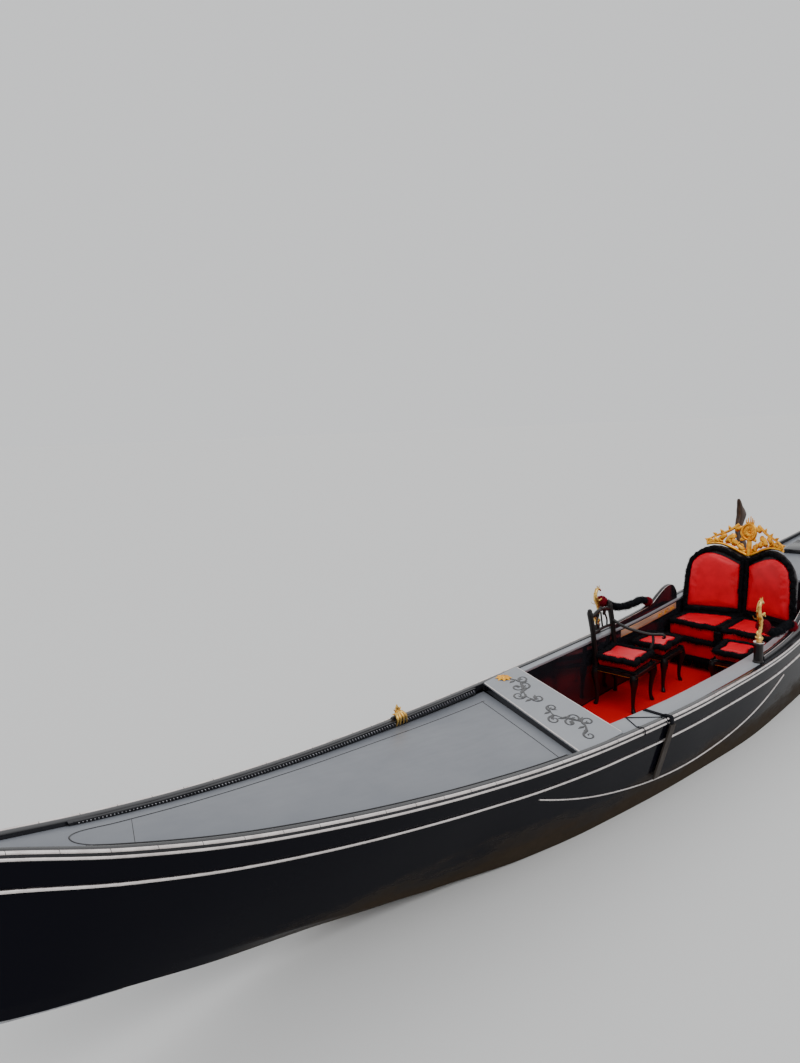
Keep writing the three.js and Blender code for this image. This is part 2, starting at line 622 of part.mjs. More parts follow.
// The bow iron: a comb of six teeth under a broad curved blade, with one tooth aft.
const IRON_STRIP = { under: 18, into: 10 }; // the band under the bottom, and how far it is let in
const BOW_IRON = {
  tail: 4500, bend: 5050, front: 5345, reach: 5440, teeth: 6, teethLow: 985, pitch: 57, tooth: 34,
};
const BOW_CURVE = [[5110, 538], [5215, 625], [5290, 740], [5335, 880]];
const BOW_BLADE = [
  [5350, 1345], [5378, 1392], [5430, 1432], [5455, 1490], [5452, 1560], [5420, 1625], [5365, 1672],
  [5295, 1690], [5252, 1668], [5236, 1590], [5240, 1500], [5243, 1420], [5236, 1345],
];
const AFT_TOOTH = [[5110, 1345], [5110, 1308], [5228, 1305]];
const BOW_NECK = [[5200, 1240], [5150, 1205], [BOW_END + GAP, 1200]];
function bowIronOutline() {
  const teeth = Array.from({ length: BOW_IRON.teeth }, (_, i) => {
    const low = BOW_IRON.teethLow + i * BOW_IRON.pitch;
    const high = low + BOW_IRON.tooth;
    return [[BOW_IRON.front, low], [BOW_IRON.reach, low + 3], [BOW_IRON.reach, high], [BOW_IRON.front, high]];
  });
  return [
    ...alongBottom(BOW_IRON.tail, BOW_IRON.bend, -IRON_STRIP.under),
    ...BOW_CURVE, ...teeth.flat(), ...BOW_BLADE, ...AFT_TOOTH, ...BOW_NECK,
    [BOW_END + GAP, bottom(BOW_END) + IRON_STRIP.into],
    ...alongBottom(BOW_IRON.tail, BOW_END - 20, IRON_STRIP.into).reverse(),
  ];
}
const endHeadSpaces = [
  solidOf(endHead(STEM_HEAD_START + GAP, BOW_END)),
  solidOf(endHead(STERN_END, STERN_HEAD_START - GAP)),
];
const bottomSpace = solidOf(hullBottom(GAP));
const bowIron = uprightPlate(bowIronOutline(), IRON);
addPiece('bow_iron', trimmed(bowIron, [...hullSpaces, bottomSpace, endHeadSpaces[0]]), 'iron');

// The stern iron: a narrow band round the stern post that ends in a small curl.
const STERN_IRON = { tail: -4500, bend: -5120 };
const STERN_BAND = [
  [-5200, 895], [-5235, 940], [-5250, 1060], [-5258, 1220], [-5268, 1400], [-5300, 1545], [-5324, 1596],
  [-5302, 1628], [-5262, 1612], [-5215, 1540], [STERN_END - GAP, 1523],
];
const sternIronOutline = [
  ...alongBottom(STERN_IRON.bend - 20, STERN_IRON.tail, IRON_STRIP.into),
  ...alongBottom(STERN_IRON.bend, STERN_IRON.tail, -IRON_STRIP.under).reverse(),
  ...STERN_BAND, [STERN_END - GAP, bottom(STERN_END) + IRON_STRIP.into],
];
const sternIron = uprightPlate(sternIronOutline, IRON);
addPiece('stern_iron', trimmed(sternIron, [...hullSpaces, bottomSpace, endHeadSpaces[1]]), 'iron');

/** Rings of points round an upright axis, one for each height: [z, x, y, half length, half width]. */
function uprightLoft(levels, sides = 12) {
  const rings = levels.map(([z, x, y, halfLength, halfWidth]) => Array.from({ length: sides }, (_, i) => {
    const angle = (2 * Math.PI * (i + 0.5)) / sides;
    return at(x + halfLength * Math.cos(angle), y + halfWidth * Math.sin(angle), z);
  }));
  return loft(rings);
}

/** A plate with rounded edges round a shape that has been drawn in by their radius. */
function roundEdged(shape, height, edge) {
  return new THREE.ExtrudeGeometry(shape, {
    depth: height - 2 * edge, bevelEnabled: true, bevelSize: edge, bevelThickness: edge,
    bevelSegments: 3, curveSegments: 3,
  });
}

/** A block with rounded corners, its lowest face at a height; it can be turned about the upright axis. */
function padBetween(x, y, low, length, width, height, round, turned = 0) {
  const edge = Math.min(round, height / 2 - 2);
  const shape = new THREE.Shape();
  const a = length / 2 - edge;
  const b = width / 2 - edge;
  const corner = Math.min(round * 1.4, a, b);
  shape.moveTo(-a + corner, -b).lineTo(a - corner, -b).quadraticCurveTo(a, -b, a, -b + corner);
  shape.lineTo(a, b - corner).quadraticCurveTo(a, b, a - corner, b);
  shape.lineTo(-a + corner, b).quadraticCurveTo(-a, b, -a, b - corner);
  shape.lineTo(-a, -b + corner).quadraticCurveTo(-a, -b, -a + corner, -b);
  const geometry = roundEdged(shape, height, edge);
  return geometry.translate(0, 0, low + edge).rotateZ(turned).translate(x, y, 0);
}

// The sofa: a boxed base on feet, two seat cushions, a high padded back and its carved crest.
// In plan its back is a shallow V that opens towards the bow.
const SOFA = {
  front: -730, middle: 50, half: 483, base: 205, seat: 392, cushion: 150, edge: 26, overhang: 15, wall: 20,
};
const SOFA_FEET = { inset: 24, low: 15, high: 22, into: 12 };
const BACK = { face: -1265, sweep: 0.39, lean: 0.06, thick: 90, faceHeight: 595, foot: SOFA.seat + GAP };

/** Position along the boat of the face of the sofa's back, at a distance from its middle and a height. */
const backFace = (across, z) => BACK.face + BACK.sweep * Math.abs(across) - BACK.lean * (z - BACK.faceHeight);

/** A plan outline, listed counterclockwise, with each of its edges moved inwards. */
function drawnIn(outline, by) {
  const corners = outline.map(([x, y]) => new THREE.Vector2(x, y));
  return corners.map((corner, i) => {
    const before = corner.clone().sub(corners.at(i - 1)).normalize();
    const after = corners[(i + 1) % corners.length].clone().sub(corner).normalize();
    const inwards = [before, after].map((edge) => new THREE.Vector2(-edge.y, edge.x));
    const share = by / (1 + inwards[0].dot(inwards[1]));
    const moved = corner.clone().addScaledVector(inwards[0], share).addScaledVector(inwards[1], share);
    return [moved.x, moved.y];
  });
}

function sofaBase() {
  const rear = (across) => backFace(across, BACK.faceHeight) - BACK.thick;
  const [star, port] = [SOFA.middle - SOFA.half, SOFA.middle + SOFA.half];
  const plan = [
    [SOFA.front, star], [SOFA.front, port], [rear(SOFA.half), port], [rear(0), SOFA.middle], [rear(SOFA.half), star],
  ];
  const shell = solidOf(levelPlate(plan, SOFA.base, SOFA.seat));
  const hollow = solidOf(levelPlate(drawnIn(plan, SOFA.wall), SOFA.base - BURY, SOFA.seat - SOFA.wall));
  const feet = drawnIn(plan, SOFA_FEET.inset).map(([x, y]) => uprightLoft([
    [CARPET_TOP + GAP, x, y, SOFA_FEET.low, SOFA_FEET.low],
    [SOFA.base + SOFA_FEET.into, x, y, SOFA_FEET.high, SOFA_FEET.high],
  ], 8));
  return joined([geometryOf(shell.subtract(hollow)), ...feet]);
}
addPiece('sofa_base', sofaBase(), 'satin');

const SEAT_CLEAR = { back: 1, side: 3 }; // round each seat cushion
/** A soft-edged plate over a plan outline. */
function softPlate(outline, low, height, edge) {
  const shape = new THREE.Shape(drawnIn(outline, edge).map(([x, y]) => new THREE.Vector2(x, y)));
  return roundEdged(shape, height, edge).translate(0, 0, low + edge);
}
for (const [word, side] of SIDES) {
  const face = (across) => backFace(across, BACK.foot) + SEAT_CLEAR.back;
  const inner = SOFA.middle + side * SEAT_CLEAR.side;
  const outer = SOFA.middle + side * (SOFA.half - SEAT_CLEAR.side);
  const front = SOFA.front + SOFA.overhang;
  const outline = [[front, inner], [front, outer], [face(SOFA.half), outer], [face(0), inner]];
  if (side < 0) outline.reverse();
  addPiece(`sofa_seat_${word}`, softPlate(outline, SOFA.seat + GAP, SOFA.cushion, SOFA.edge), 'satin');
}

// The top of the back rises from a dip in the middle to a shoulder on each side: [from the middle, height].
const BACK_TOP = [
  [0, 1080], [80, 1122], [150, 1163], [220, 1186], [280, 1188], [345, 1166], [410, 1115], [455, 1050], [483, 965],
];
/** A height out of a table of rising places, at a distance from the middle. */
function heightIn(table, across) {
  const i = Math.max(table.findIndex(([value]) => value >= across), 1);
  const [fromPlace, fromZ] = table[i - 1];
  const [toPlace, toZ] = table[i];
  return fromZ + ((toZ - fromZ) * (across - fromPlace)) / (toPlace - fromPlace);
}
/** The places of a table, on both sides of the middle. */
const bothWays = (places) => [...places.map((place) => -place).reverse(), ...places.slice(1)];

const BACK_ROUND = 18; // how far the top of the back is rounded down
function sofaBack() {
  const rings = bothWays(BACK_TOP.map(([place]) => place)).map((across) => {
    const top = heightIn(BACK_TOP, Math.abs(across));
    const middle = (BACK.foot + top) / 2;
    const y = SOFA.middle + across;
    const place = (inwards, z) => at(backFace(across, z) - inwards * BACK.thick, y, z);
    return [
      place(0, BACK.foot), place(0, BACK.foot + SOFA.cushion), place(-0.1, middle), place(0.15, top - BACK_ROUND),
      place(0.5, top), place(0.85, top - BACK_ROUND), place(1, BACK.foot),
    ];
  });
  return loft(rings);
}
addPiece('sofa_back', sofaBack(), 'satin');

// The crest: an open carving along the top of the back, with a medallion in the middle.
const CREST_THICK = 26;
const CREST_TOP = [
  [0, 1462], [28, 1450], [46, 1404], [100, 1388], [150, 1345], [225, 1306], [310, 1262], [345, 1206],
];
function crest() {
  const half = CREST_TOP.at(-1)[0];
  const inner = [...BACK_TOP, ...CREST_TOP].map(([place]) => place).filter((place) => place <= half);
  const places = [...new Set(inner)].sort((a, b) => a - b);
  const rings = bothWays(places).map((across) => {
    const low = heightIn(BACK_TOP, Math.abs(across)) + GAP;
    const high = heightIn(CREST_TOP, Math.abs(across));
    const back = (BACK.thick + CREST_THICK) / 2;
    const front = back - CREST_THICK;
    const y = SOFA.middle + across;
    const corner = (inwards, z) => at(backFace(across, z) - inwards, y, z);
    return [corner(back, low), corner(front, low), corner(front, high), corner(back, high)];
  });
  return loft(rings);
}
addPiece('sofa_crest', crest(), 'gilt');

// The armchair stands askew near the starboard side and faces to port. In its own axes x runs along
// the boat and y towards its front.
const CHAIR = {
  x: 340, y: -245, turned: 0.08, half: 190, depth: 186, leg: 170, legFront: 158, seat: 440, rail: 32, post: 880,
  pad: 95, padClear: 4,
};
const CHAIR_LEG = [[CARPET_TOP + GAP, 11], [CHAIR.seat - 120, 14], [CHAIR.seat - 12, 22]]; // height, half size
// The back posts lean aft of the seat: height, place behind the legs, half length and half width.
const CHAIR_POST = [[CHAIR.seat - 20, -6, 20, 15], [CHAIR.seat + 190, 8, 22, 14], [CHAIR.post, 46, 24, 13]];
const TOP_RAIL = { behind: 38, below: 45, rise: 26, radius: 16 };
const BACK_RAIL = { behind: 18, z: 700, radius: 12 };
// The arm of the end nearest the stern, from its back post to its front: x from the post, y, height.
const CHAIR_ARM = [[0, -196, 748], [8, -40, 682], [44, 120, 654], [76, 222, 664]];
const ARM_STUMP = { from: [50, 140, 656], to: [0, 130, CHAIR.seat - 12], radius: 12 };
const ARM_RADIUS = 13;
const inChair = (x, y, z) => {
  const c = Math.cos(CHAIR.turned);
  const s = Math.sin(CHAIR.turned);
  return at(CHAIR.x + x * c - y * s, CHAIR.y + x * s + y * c, z);
};
const onArm = ([out, y, z]) => inChair(-CHAIR.leg - out, y, z);

/** An upright leg or post on one place of the chair: [height, place behind it, half length, half width]. */
function chairUpright(x, y, levels) {
  return uprightLoft(levels.map(([z, behind, halfLength, halfWidth]) => {
    const place = inChair(x, y - behind, z);
    return [z, place.x, place.y, halfLength, halfWidth];
  }), 8);
}
function chairFrame() {
  const { x: middleX, y: middleY, seat, rail: depth, half, depth: halfDepth, turned, leg, legFront } = CHAIR;
  const pieces = [padBetween(middleX, middleY, seat - depth, 2 * half, 2 * halfDepth, depth, 6, turned)];
  for (const x of [-leg, leg]) {
    const levels = CHAIR_LEG.map(([z, size]) => [z, 0, size, size]);
    for (const y of [-legFront, legFront]) pieces.push(chairUpright(x, y, levels));
    pieces.push(chairUpright(x, -leg, CHAIR_POST));
  }
  const topRail = [[-leg, 0], [0, TOP_RAIL.rise], [leg, 0]].map(([x, rise]) => (
    inChair(x, -leg - TOP_RAIL.behind, CHAIR.post - TOP_RAIL.below + rise)
  ));
  const backRail = [-leg, leg].map((x) => inChair(x, -leg - BACK_RAIL.behind, BACK_RAIL.z));
  pieces.push(bar(topRail, TOP_RAIL.radius), bar(backRail, BACK_RAIL.radius));
  pieces.push(bar(CHAIR_ARM.map(onArm), ARM_RADIUS));
  pieces.push(bar([ARM_STUMP.from, ARM_STUMP.to].map(onArm), ARM_STUMP.radius));
  return joined(pieces);
}
addPiece('armchair_frame', chairFrame(), 'walnut');

// The cushion keeps clear of the posts and the arm: x, y, half length and half width in the chair's axes.
const CHAIR_KEEP_OUT = [[-170, -184, 42, 42], [170, -184, 42, 42], [-184, 124, 36, 30]];
function chairCushion() {
  const { seat, pad, padClear, half, depth, turned } = CHAIR;
  const sizes = [2 * (half - padClear), 2 * (depth - padClear), pad];
  const cushion = padBetween(CHAIR.x, CHAIR.y, seat + GAP, ...sizes, 30, turned);
  return trimmed(cushion, CHAIR_KEEP_OUT.map(([x, y, halfLength, halfWidth]) => solidOf(
    chairUpright(x, y, [seat - 30, seat + 200].map((z) => [z, 0, halfLength, halfWidth])),
  )));
}
addPiece('armchair_cushion', chairCushion(), 'satin');

// The stools: padded seats on four tapered legs.
const STOOL_LEG = { inset: 30, low: 12, high: 24, into: 25 };
const STOOL_RAIL = 40;
const STOOLS = [
  { name: 'stool_starboard', x: -220, y: -255, turned: 0.05, half: 190, depth: 160, seat: 420, pad: 90 },
  { name: 'stool_port', x: -475, y: 310, turned: 0.08, half: 185, depth: 150, seat: 400, pad: 88 },
];
for (const { name, x, y, turned, half, depth, seat, pad } of STOOLS) {
  const c = Math.cos(turned);
  const s = Math.sin(turned);
  const { inset, low, high, into } = STOOL_LEG;
  const pieces = [padBetween(x, y, seat - STOOL_RAIL, 2 * half, 2 * depth, STOOL_RAIL, 8, turned)];
  for (const [alongBoat, across] of [[-1, -1], [-1, 1], [1, -1], [1, 1]]) {
    const px = alongBoat * (half - inset);
    const py = across * (depth - inset);
    const place = [x + px * c - py * s, y + px * s + py * c];
    const foot = [CARPET_TOP + GAP, ...place, low, low];
    pieces.push(uprightLoft([foot, [seat - STOOL_RAIL + into, ...place, high, high]], 8));
  }
  addPiece(`${name}_frame`, joined(pieces), 'walnut');
  addPiece(`${name}_cushion`, padBetween(x, y, seat + GAP, 2 * half - 6, 2 * depth - 6, pad, 30, turned), 'satin');
}

// Armrest boards stand on the side decks against the rails and end aft in a scroll.
const ARM_BOARD = { fore: 110, aft: -1030, thick: 44, clear: 2, chamfer: 6, chamferDown: 5 };
const ARM_TOP = [
  [-1030, 20], [-1005, 95], [-950, 145], [-860, 160], [-780, 148], [-670, 110], [-550, 62], [-330, 50], [110, 36],
];
const armTop = (x) => heightIn(ARM_TOP, x);
const armBoards = {};
for (const [word, side] of SIDES) {
  const { fore, aft, thick: width, clear, chamfer, chamferDown } = ARM_BOARD;
  const places = new Set([...sectionsBetween(aft, fore), ...ARM_TOP.map(([x]) => x)]);
  const rings = [...places].sort((a, b) => a - b).map((x) => {
    const outer = railInner(side, x) - clear;
    const inner = outer - width;
    const low = sheer(x) - SIDE_DECK_DROP + GAP;
    const high = sheer(x) + armTop(x);
    const section = [
      [outer, low], [outer, high - chamferDown], [outer - chamfer, high],
      [inner + chamfer, high], [inner, high - chamferDown], [inner, low],
    ];
    return section.map(([y, z]) => at(x, side * y, z));
  });
  armBoards[side] = addPiece(`armrest_board_${word}`, loft(rings), 'lacquer');
}

// Brass sea-horses on posts: the port one stands on the side deck, the starboard one on the rail.
const HORSES = {
  1: { x: 150, inboard: 76, foot: 820, post: 28, drop: SIDE_DECK_DROP },
  '-1': { x: 268, inboard: 23, foot: 745, post: 21, drop: 0 },
};
const HORSE_SPINE = [[0, 0], [-22, 48], [-12, 108], [22, 158], [26, 212], [-4, 250], [-40, 238]];
const horseY = (side) => side * (rail(side, HORSES[side].x) - HORSES[side].inboard);
const horses = {};
for (const [word, side] of SIDES) {
  const { x, foot, post, drop } = HORSES[side];
  const y = horseY(side);
  const low = Math.max(sheer(x - post), sheer(x + post)) - drop + GAP;
  const stand = uprightLoft([
    [low, x, y, post, post], [low + 24, x, y, post, post], [low + 36, x, y, 18, 18],
    [foot - 34, x, y, 22, 22], [foot - 24, x, y, 28, 28], [foot, x, y, 28, 28], [foot + 22, x, y, 13, 13],
  ]);
  const spine = HORSE_SPINE.map(([ahead, rise]) => at(x + ahead, y, foot + 10 + rise));
  horses[side] = addPiece(`sea_horse_${word}`, joined([stand, bar(spine, 15, 8, 14)]), 'brass');
}

// The rowlock stands in a block on the stern deck and lifts straight out of it.
const ROWLOCK = { x: -2400, y: -385, shankLength: 60, shankLong: 56, shankWide: 40, slack: 1.5, into: 10 };
const BLOCK = { top: 48, half: 170, inside: 60, fromRail: 12 };
const blockHigh = sheer(ROWLOCK.x) + BLOCK.top;

/** The shank of the rowlock, or the socket that it stands in, larger by some slack. */
function shank(low, high, slack = 0) {
  const halfLength = ROWLOCK.shankLong / 2 + slack;
  const halfWidth = ROWLOCK.shankWide / 2 + slack;
  return boxBetween(
    [ROWLOCK.x - halfLength, ROWLOCK.y - halfWidth, low],
    [ROWLOCK.x + halfLength, ROWLOCK.y + halfWidth, high],
  );
}
function rowlockBlock() {
  const low = sheer(ROWLOCK.x) - deckDrop(ROWLOCK.x) - BURY;
  const outside = BLOCK.fromRail - rail(-1, ROWLOCK.x + BLOCK.half);
  const block = boxBetween(
    [ROWLOCK.x - BLOCK.half, outside, low],
    [ROWLOCK.x + BLOCK.half, ROWLOCK.y + BLOCK.inside, blockHigh],
  );
  const socket = shank(blockHigh - ROWLOCK.shankLength - 2, blockHigh + BURY, ROWLOCK.slack);
  return trimmed(block, [...hullSpaces, sternDeckSpace, solidOf(socket)]);
}
addPiece('rowlock_block', rowlockBlock(), 'walnut');

// Heights over the block, with the middle and the half sizes of each section of the rowlock.
const ROWLOCK_LEVELS = [
  [GAP, 0, 0, 52, 27], [60, 0, -8, 56, 30], [130, 10, -26, 64, 33], [200, 14, -48, 66, 34], [260, 4, -70, 56, 32],
  [300, -6, -84, 52, 29], [373, -56, -92, 68, 27], [443, -104, -96, 82, 26], [500, -86, -98, 62, 24],
  [545, -60, -98, 34, 20], [600, -30, -96, 24, 16], [630, -14, -95, 14, 11],
];
function rowlock() {
  const levels = ROWLOCK_LEVELS.map(([z, x, y, a, b]) => [blockHigh + z, ROWLOCK.x + x, ROWLOCK.y + y, a, b]);
  return joined([shank(blockHigh - ROWLOCK.shankLength, blockHigh + ROWLOCK.into), uprightLoft(levels)]);
}
addPiece('rowlock', rowlock(), 'walnut');

// The rower's sloping footboard on the stern deck.
const FOOTBOARD = { aft: -3320, fore: -2900, half: 170, low: 10, aftHigh: 10, foreHigh: 30 };
function footboard() {
  const { aft, fore, half, low, aftHigh, foreHigh } = FOOTBOARD;
  const rings = [-half, half].map((y) => [
    at(aft, y, sheer(aft) - deckDrop(aft) + low),
    at(aft, y, sheer(aft) + aftHigh),
    at(fore, y, sheer(fore) + foreHigh),
    at(fore, y, sheer(fore) - deckDrop(fore) + low),
  ]);
  return trimmed(loft(rings), [...hullSpaces, sternDeckSpace]);
}
addPiece('rower_footboard', footboard(), 'lacquer');

// A rubber strip hangs outside the port planking from a strap over the side deck.
const FENDER = { x: 1495, half: 26, thick: 12, low: 230, underRail: 2, strapHalf: 15, strapThick: 6 };
function fenderStrip() {
  const rings = [FENDER.x - FENDER.half, FENDER.x + FENDER.half].map((x) => {
    const top = railBottom(x) - FENDER.underRail;
    const clear = RUB_STRAKE.proud + GAP;
    const inner = [FENDER.low, top].map((z) => [outerHalf(1, x, z) + clear, z]);
    const outer = [top, FENDER.low].map((z) => [outerHalf(1, x, z) + clear + FENDER.thick, z]);
    return [...inner, ...outer].map(([y, z]) => at(x, y, z));
  });
  return loft(rings);
}
addPiece('fender_strip', fenderStrip(), 'rubber');
function fenderStrap() {
  const rings = [FENDER.x - FENDER.strapHalf, FENDER.x + FENDER.strapHalf].map((x) => {
    const edge = rail(1, x);
    const inner = railInner(1, x);
    const inside = deckInnerEdge(1, x) + 6;
    const deck = sheer(x) - SIDE_DECK_DROP + GAP;
    const top = sheer(x) + GAP;
    const foot = railBottom(x) - 1;
    const over = FENDER.strapThick;
    const section = [
      [inside, deck], [inner - 8, deck], [inner + 4, top], [edge - 6, top], [edge + 1.5, top - 8], [edge + 1.5, foot],
      [edge + 8, foot], [edge + 8, top - 4], [edge - 2, top + over], [inner + 2, top + over],
      [inner - 12, deck + over], [inside, deck + over],
    ];
    return section.map(([y, z]) => at(x, y, z));
  });
  return trimmed(loft(rings), [railSpace[1]]);
}
addPiece('fender_strap', fenderStrap(), 'rope');

// A brass claw on the starboard side of the foredeck.
const CLAW = { x: 2690, out: 18, foot: 36, baseHalf: 52, baseWide: 9, baseHigh: 12, radius: 6 };
const CLAW_PRONG = [[1, 4], [1.6, 34], [0.7, 62], [0, 70]]; // share of the foot's distance, and rise
function deckClaw() {
  const y = -(railInner(-1, CLAW.x) + CLAW.out);
  const low = sheer(CLAW.x) + GAP;
  const prong = (foot) => bar(
    CLAW_PRONG.map(([share, rise]) => at(CLAW.x + foot * share, y, low + rise)), CLAW.radius, 6, 8,
  );
  const base = boxBetween(
    [CLAW.x - CLAW.baseHalf, y - CLAW.baseWide, low - BURY],
    [CLAW.x + CLAW.baseHalf, y + CLAW.baseWide, low + CLAW.baseHigh],
  );
  return trimmed(joined([base, prong(-CLAW.foot), prong(CLAW.foot)]), [railSpace[-1]]);
}
addPiece('deck_claw', deckClaw(), 'brass');

const TUFT_LEVELS = [-0.94, -0.72, -0.3, 0.3, 0.72, 0.94]; // shares of the radius
/** A round tuft about a point. */
function tuft(x, y, z, radius) {
  return uprightLoft(TUFT_LEVELS.map((share) => {
    const half = radius * Math.sqrt(1 - share * share);
    return [z + share * radius, x, y, half, half];
  }), 10);
}

// A soft rope hangs from each sea-horse to a tuft that rests on the armrest board.
const HAND_ROPE = { radius: 40, foreTuft: 56, aftTuft: 50, fromHorse: 68, foreZ: 885, aftX: -510, sunk: 6 };
const ROPE_DIP = [[0.2, 820], [0.35, 784], [0.52, 770], [0.72, 772], [0.87, 776]];
for (const [word, side] of SIDES) {
  const fore = at(HORSES[side].x - HAND_ROPE.fromHorse, horseY(side), HAND_ROPE.foreZ);
  const aftZ = sheer(HAND_ROPE.aftX) + armTop(HAND_ROPE.aftX) + HAND_ROPE.aftTuft - HAND_ROPE.sunk;
  const aft = at(HAND_ROPE.aftX, side * (railInner(side, HAND_ROPE.aftX) - ARM_BOARD.thick / 2), aftZ);
  const dip = ROPE_DIP.map(([share, z]) => fore.clone().lerp(aft, share).setZ(z));
  const ends = [['fore', fore, HAND_ROPE.foreTuft, horses[side]], ['aft', aft, HAND_ROPE.aftTuft, armBoards[side]]];
  const tufts = ends.map(([end, { x, y, z }, radius, carrier]) => (
    [end, trimmed(tuft(x, y, z, radius), [solidOf(carrier.geometry)])]
  ));
  const rope = bar([fore, ...dip, aft], HAND_ROPE.radius, 10, 18);
  addPiece(`hand_rope_${word}`, trimmed(rope, tufts.map(([, body]) => solidOf(body))), 'rope');
  for (const [end, body] of tufts) addPiece(`rope_tuft_${end}_${word}`, body, 'satin');
}

export default boat;
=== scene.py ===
"""A passenger gondola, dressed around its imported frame.

Metres throughout, in the frame's axes: +X to the bow, +Y to port, +Z up, with the
origin on the underside of the flat bottom. The floor stands at the waterline.
"""

from __future__ import annotations

import json
import logging
import math
from dataclasses import dataclass
from enum import Enum
from typing import Callable, Iterable, Sequence

import bpy
import numpy as np
from mathutils import Matrix, Vector

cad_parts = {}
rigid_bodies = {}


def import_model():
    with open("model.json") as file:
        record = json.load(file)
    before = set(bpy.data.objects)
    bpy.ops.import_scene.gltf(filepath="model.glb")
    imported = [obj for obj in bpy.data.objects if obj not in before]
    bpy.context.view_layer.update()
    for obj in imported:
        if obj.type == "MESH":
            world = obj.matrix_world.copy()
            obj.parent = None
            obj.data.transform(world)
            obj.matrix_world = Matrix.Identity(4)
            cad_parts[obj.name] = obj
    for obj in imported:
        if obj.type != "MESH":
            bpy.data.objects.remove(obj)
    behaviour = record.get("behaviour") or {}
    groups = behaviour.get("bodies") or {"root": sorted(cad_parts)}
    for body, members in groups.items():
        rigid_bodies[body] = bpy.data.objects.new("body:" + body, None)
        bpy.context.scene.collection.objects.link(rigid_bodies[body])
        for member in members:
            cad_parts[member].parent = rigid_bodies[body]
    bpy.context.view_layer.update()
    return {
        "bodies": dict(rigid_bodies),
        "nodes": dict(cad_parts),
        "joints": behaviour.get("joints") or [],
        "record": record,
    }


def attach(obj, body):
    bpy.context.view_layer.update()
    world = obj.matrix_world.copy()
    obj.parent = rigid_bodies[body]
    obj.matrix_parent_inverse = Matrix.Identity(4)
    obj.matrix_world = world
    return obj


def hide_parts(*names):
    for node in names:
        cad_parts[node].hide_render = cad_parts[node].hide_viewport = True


LOG = logging.getLogger("gondola")
WATERLINE = 0.055
HULL = "hull"
ROWLOCK = "rowlock"
# How far forward the thwart and the foredeck's aft end run for each metre to port.
SKEW = 0.4
# The clearance between a piece and the board that carries it.
CLEAR = 0.0004
UP = Vector((0.0, 0.0, 1.0))

Point = Sequence[float]
Flat = tuple[float, float]
Piece = bpy.types.Object
Socket = bpy.types.NodeSocket


class Side(Enum):
    """The two sides of the boat."""

    PORT = 1
    STARBOARD = -1

    @property
    def word(self) -> str:
        """The side's name as the frame writes it."""
        return self.name.lower()

    @classmethod
    def of(cls, across: float) -> Side:
        """The side that a place across the boat lies on."""
        return cls.PORT if across >= 0 else cls.STARBOARD

    def section(self, x: float, ring: Iterable[Flat]) -> list[tuple[float, float, float]]:
        """Half breadths and heights at one place along the boat, as points on this side."""
        return [(x, self.value * y, z) for y, z in ring]


@dataclass(frozen=True)
class Station:
    """One section of the hull: half breadths, heights, and the port turn of the bilge."""

    x: float
    port: float
    star: float
    sheer: float
    bottom: float
    turn: float


STATIONS = (
    Station(-5.2, 0.030, 0.028, 1.520, 0.930, 0.024),
    Station(-4.9, 0.095, 0.072, 1.350, 0.640, 0.036),
    Station(-4.5, 0.185, 0.130, 1.190, 0.430, 0.075),
    Station(-4.0, 0.295, 0.215, 1.050, 0.270, 0.140),
    Station(-3.0, 0.510, 0.395, 0.880, 0.085, 0.350),
    Station(-2.0, 0.668, 0.520, 0.765, 0.008, 0.560),
    Station(-1.0, 0.758, 0.568, 0.676, 0.000, 0.670),
    Station(0.0, 0.783, 0.567, 0.634, 0.000, 0.690),
    Station(1.0, 0.753, 0.538, 0.644, 0.000, 0.618),
    Station(2.0, 0.675, 0.474, 0.678, 0.000, 0.480),
    Station(2.5, 0.617, 0.428, 0.709, 0.008, 0.375),
    Station(3.0, 0.541, 0.367, 0.756, 0.040, 0.245),
    Station(3.35, 0.478, 0.320, 0.797, 0.100, 0.190),
    Station(3.7, 0.408, 0.273, 0.847, 0.178, 0.148),
    Station(4.1, 0.318, 0.218, 0.917, 0.243, 0.080),
    Station(4.5, 0.210, 0.148, 1.012, 0.345, 0.042),
    Station(4.85, 0.103, 0.072, 1.119, 0.450, 0.030),
    Station(5.12, 0.030, 0.028, 1.195, 0.560, 0.024),
)


def unit(value: float) -> float:
    """A value kept between 0 and 1."""
    return min(max(value, 0.0), 1.0)


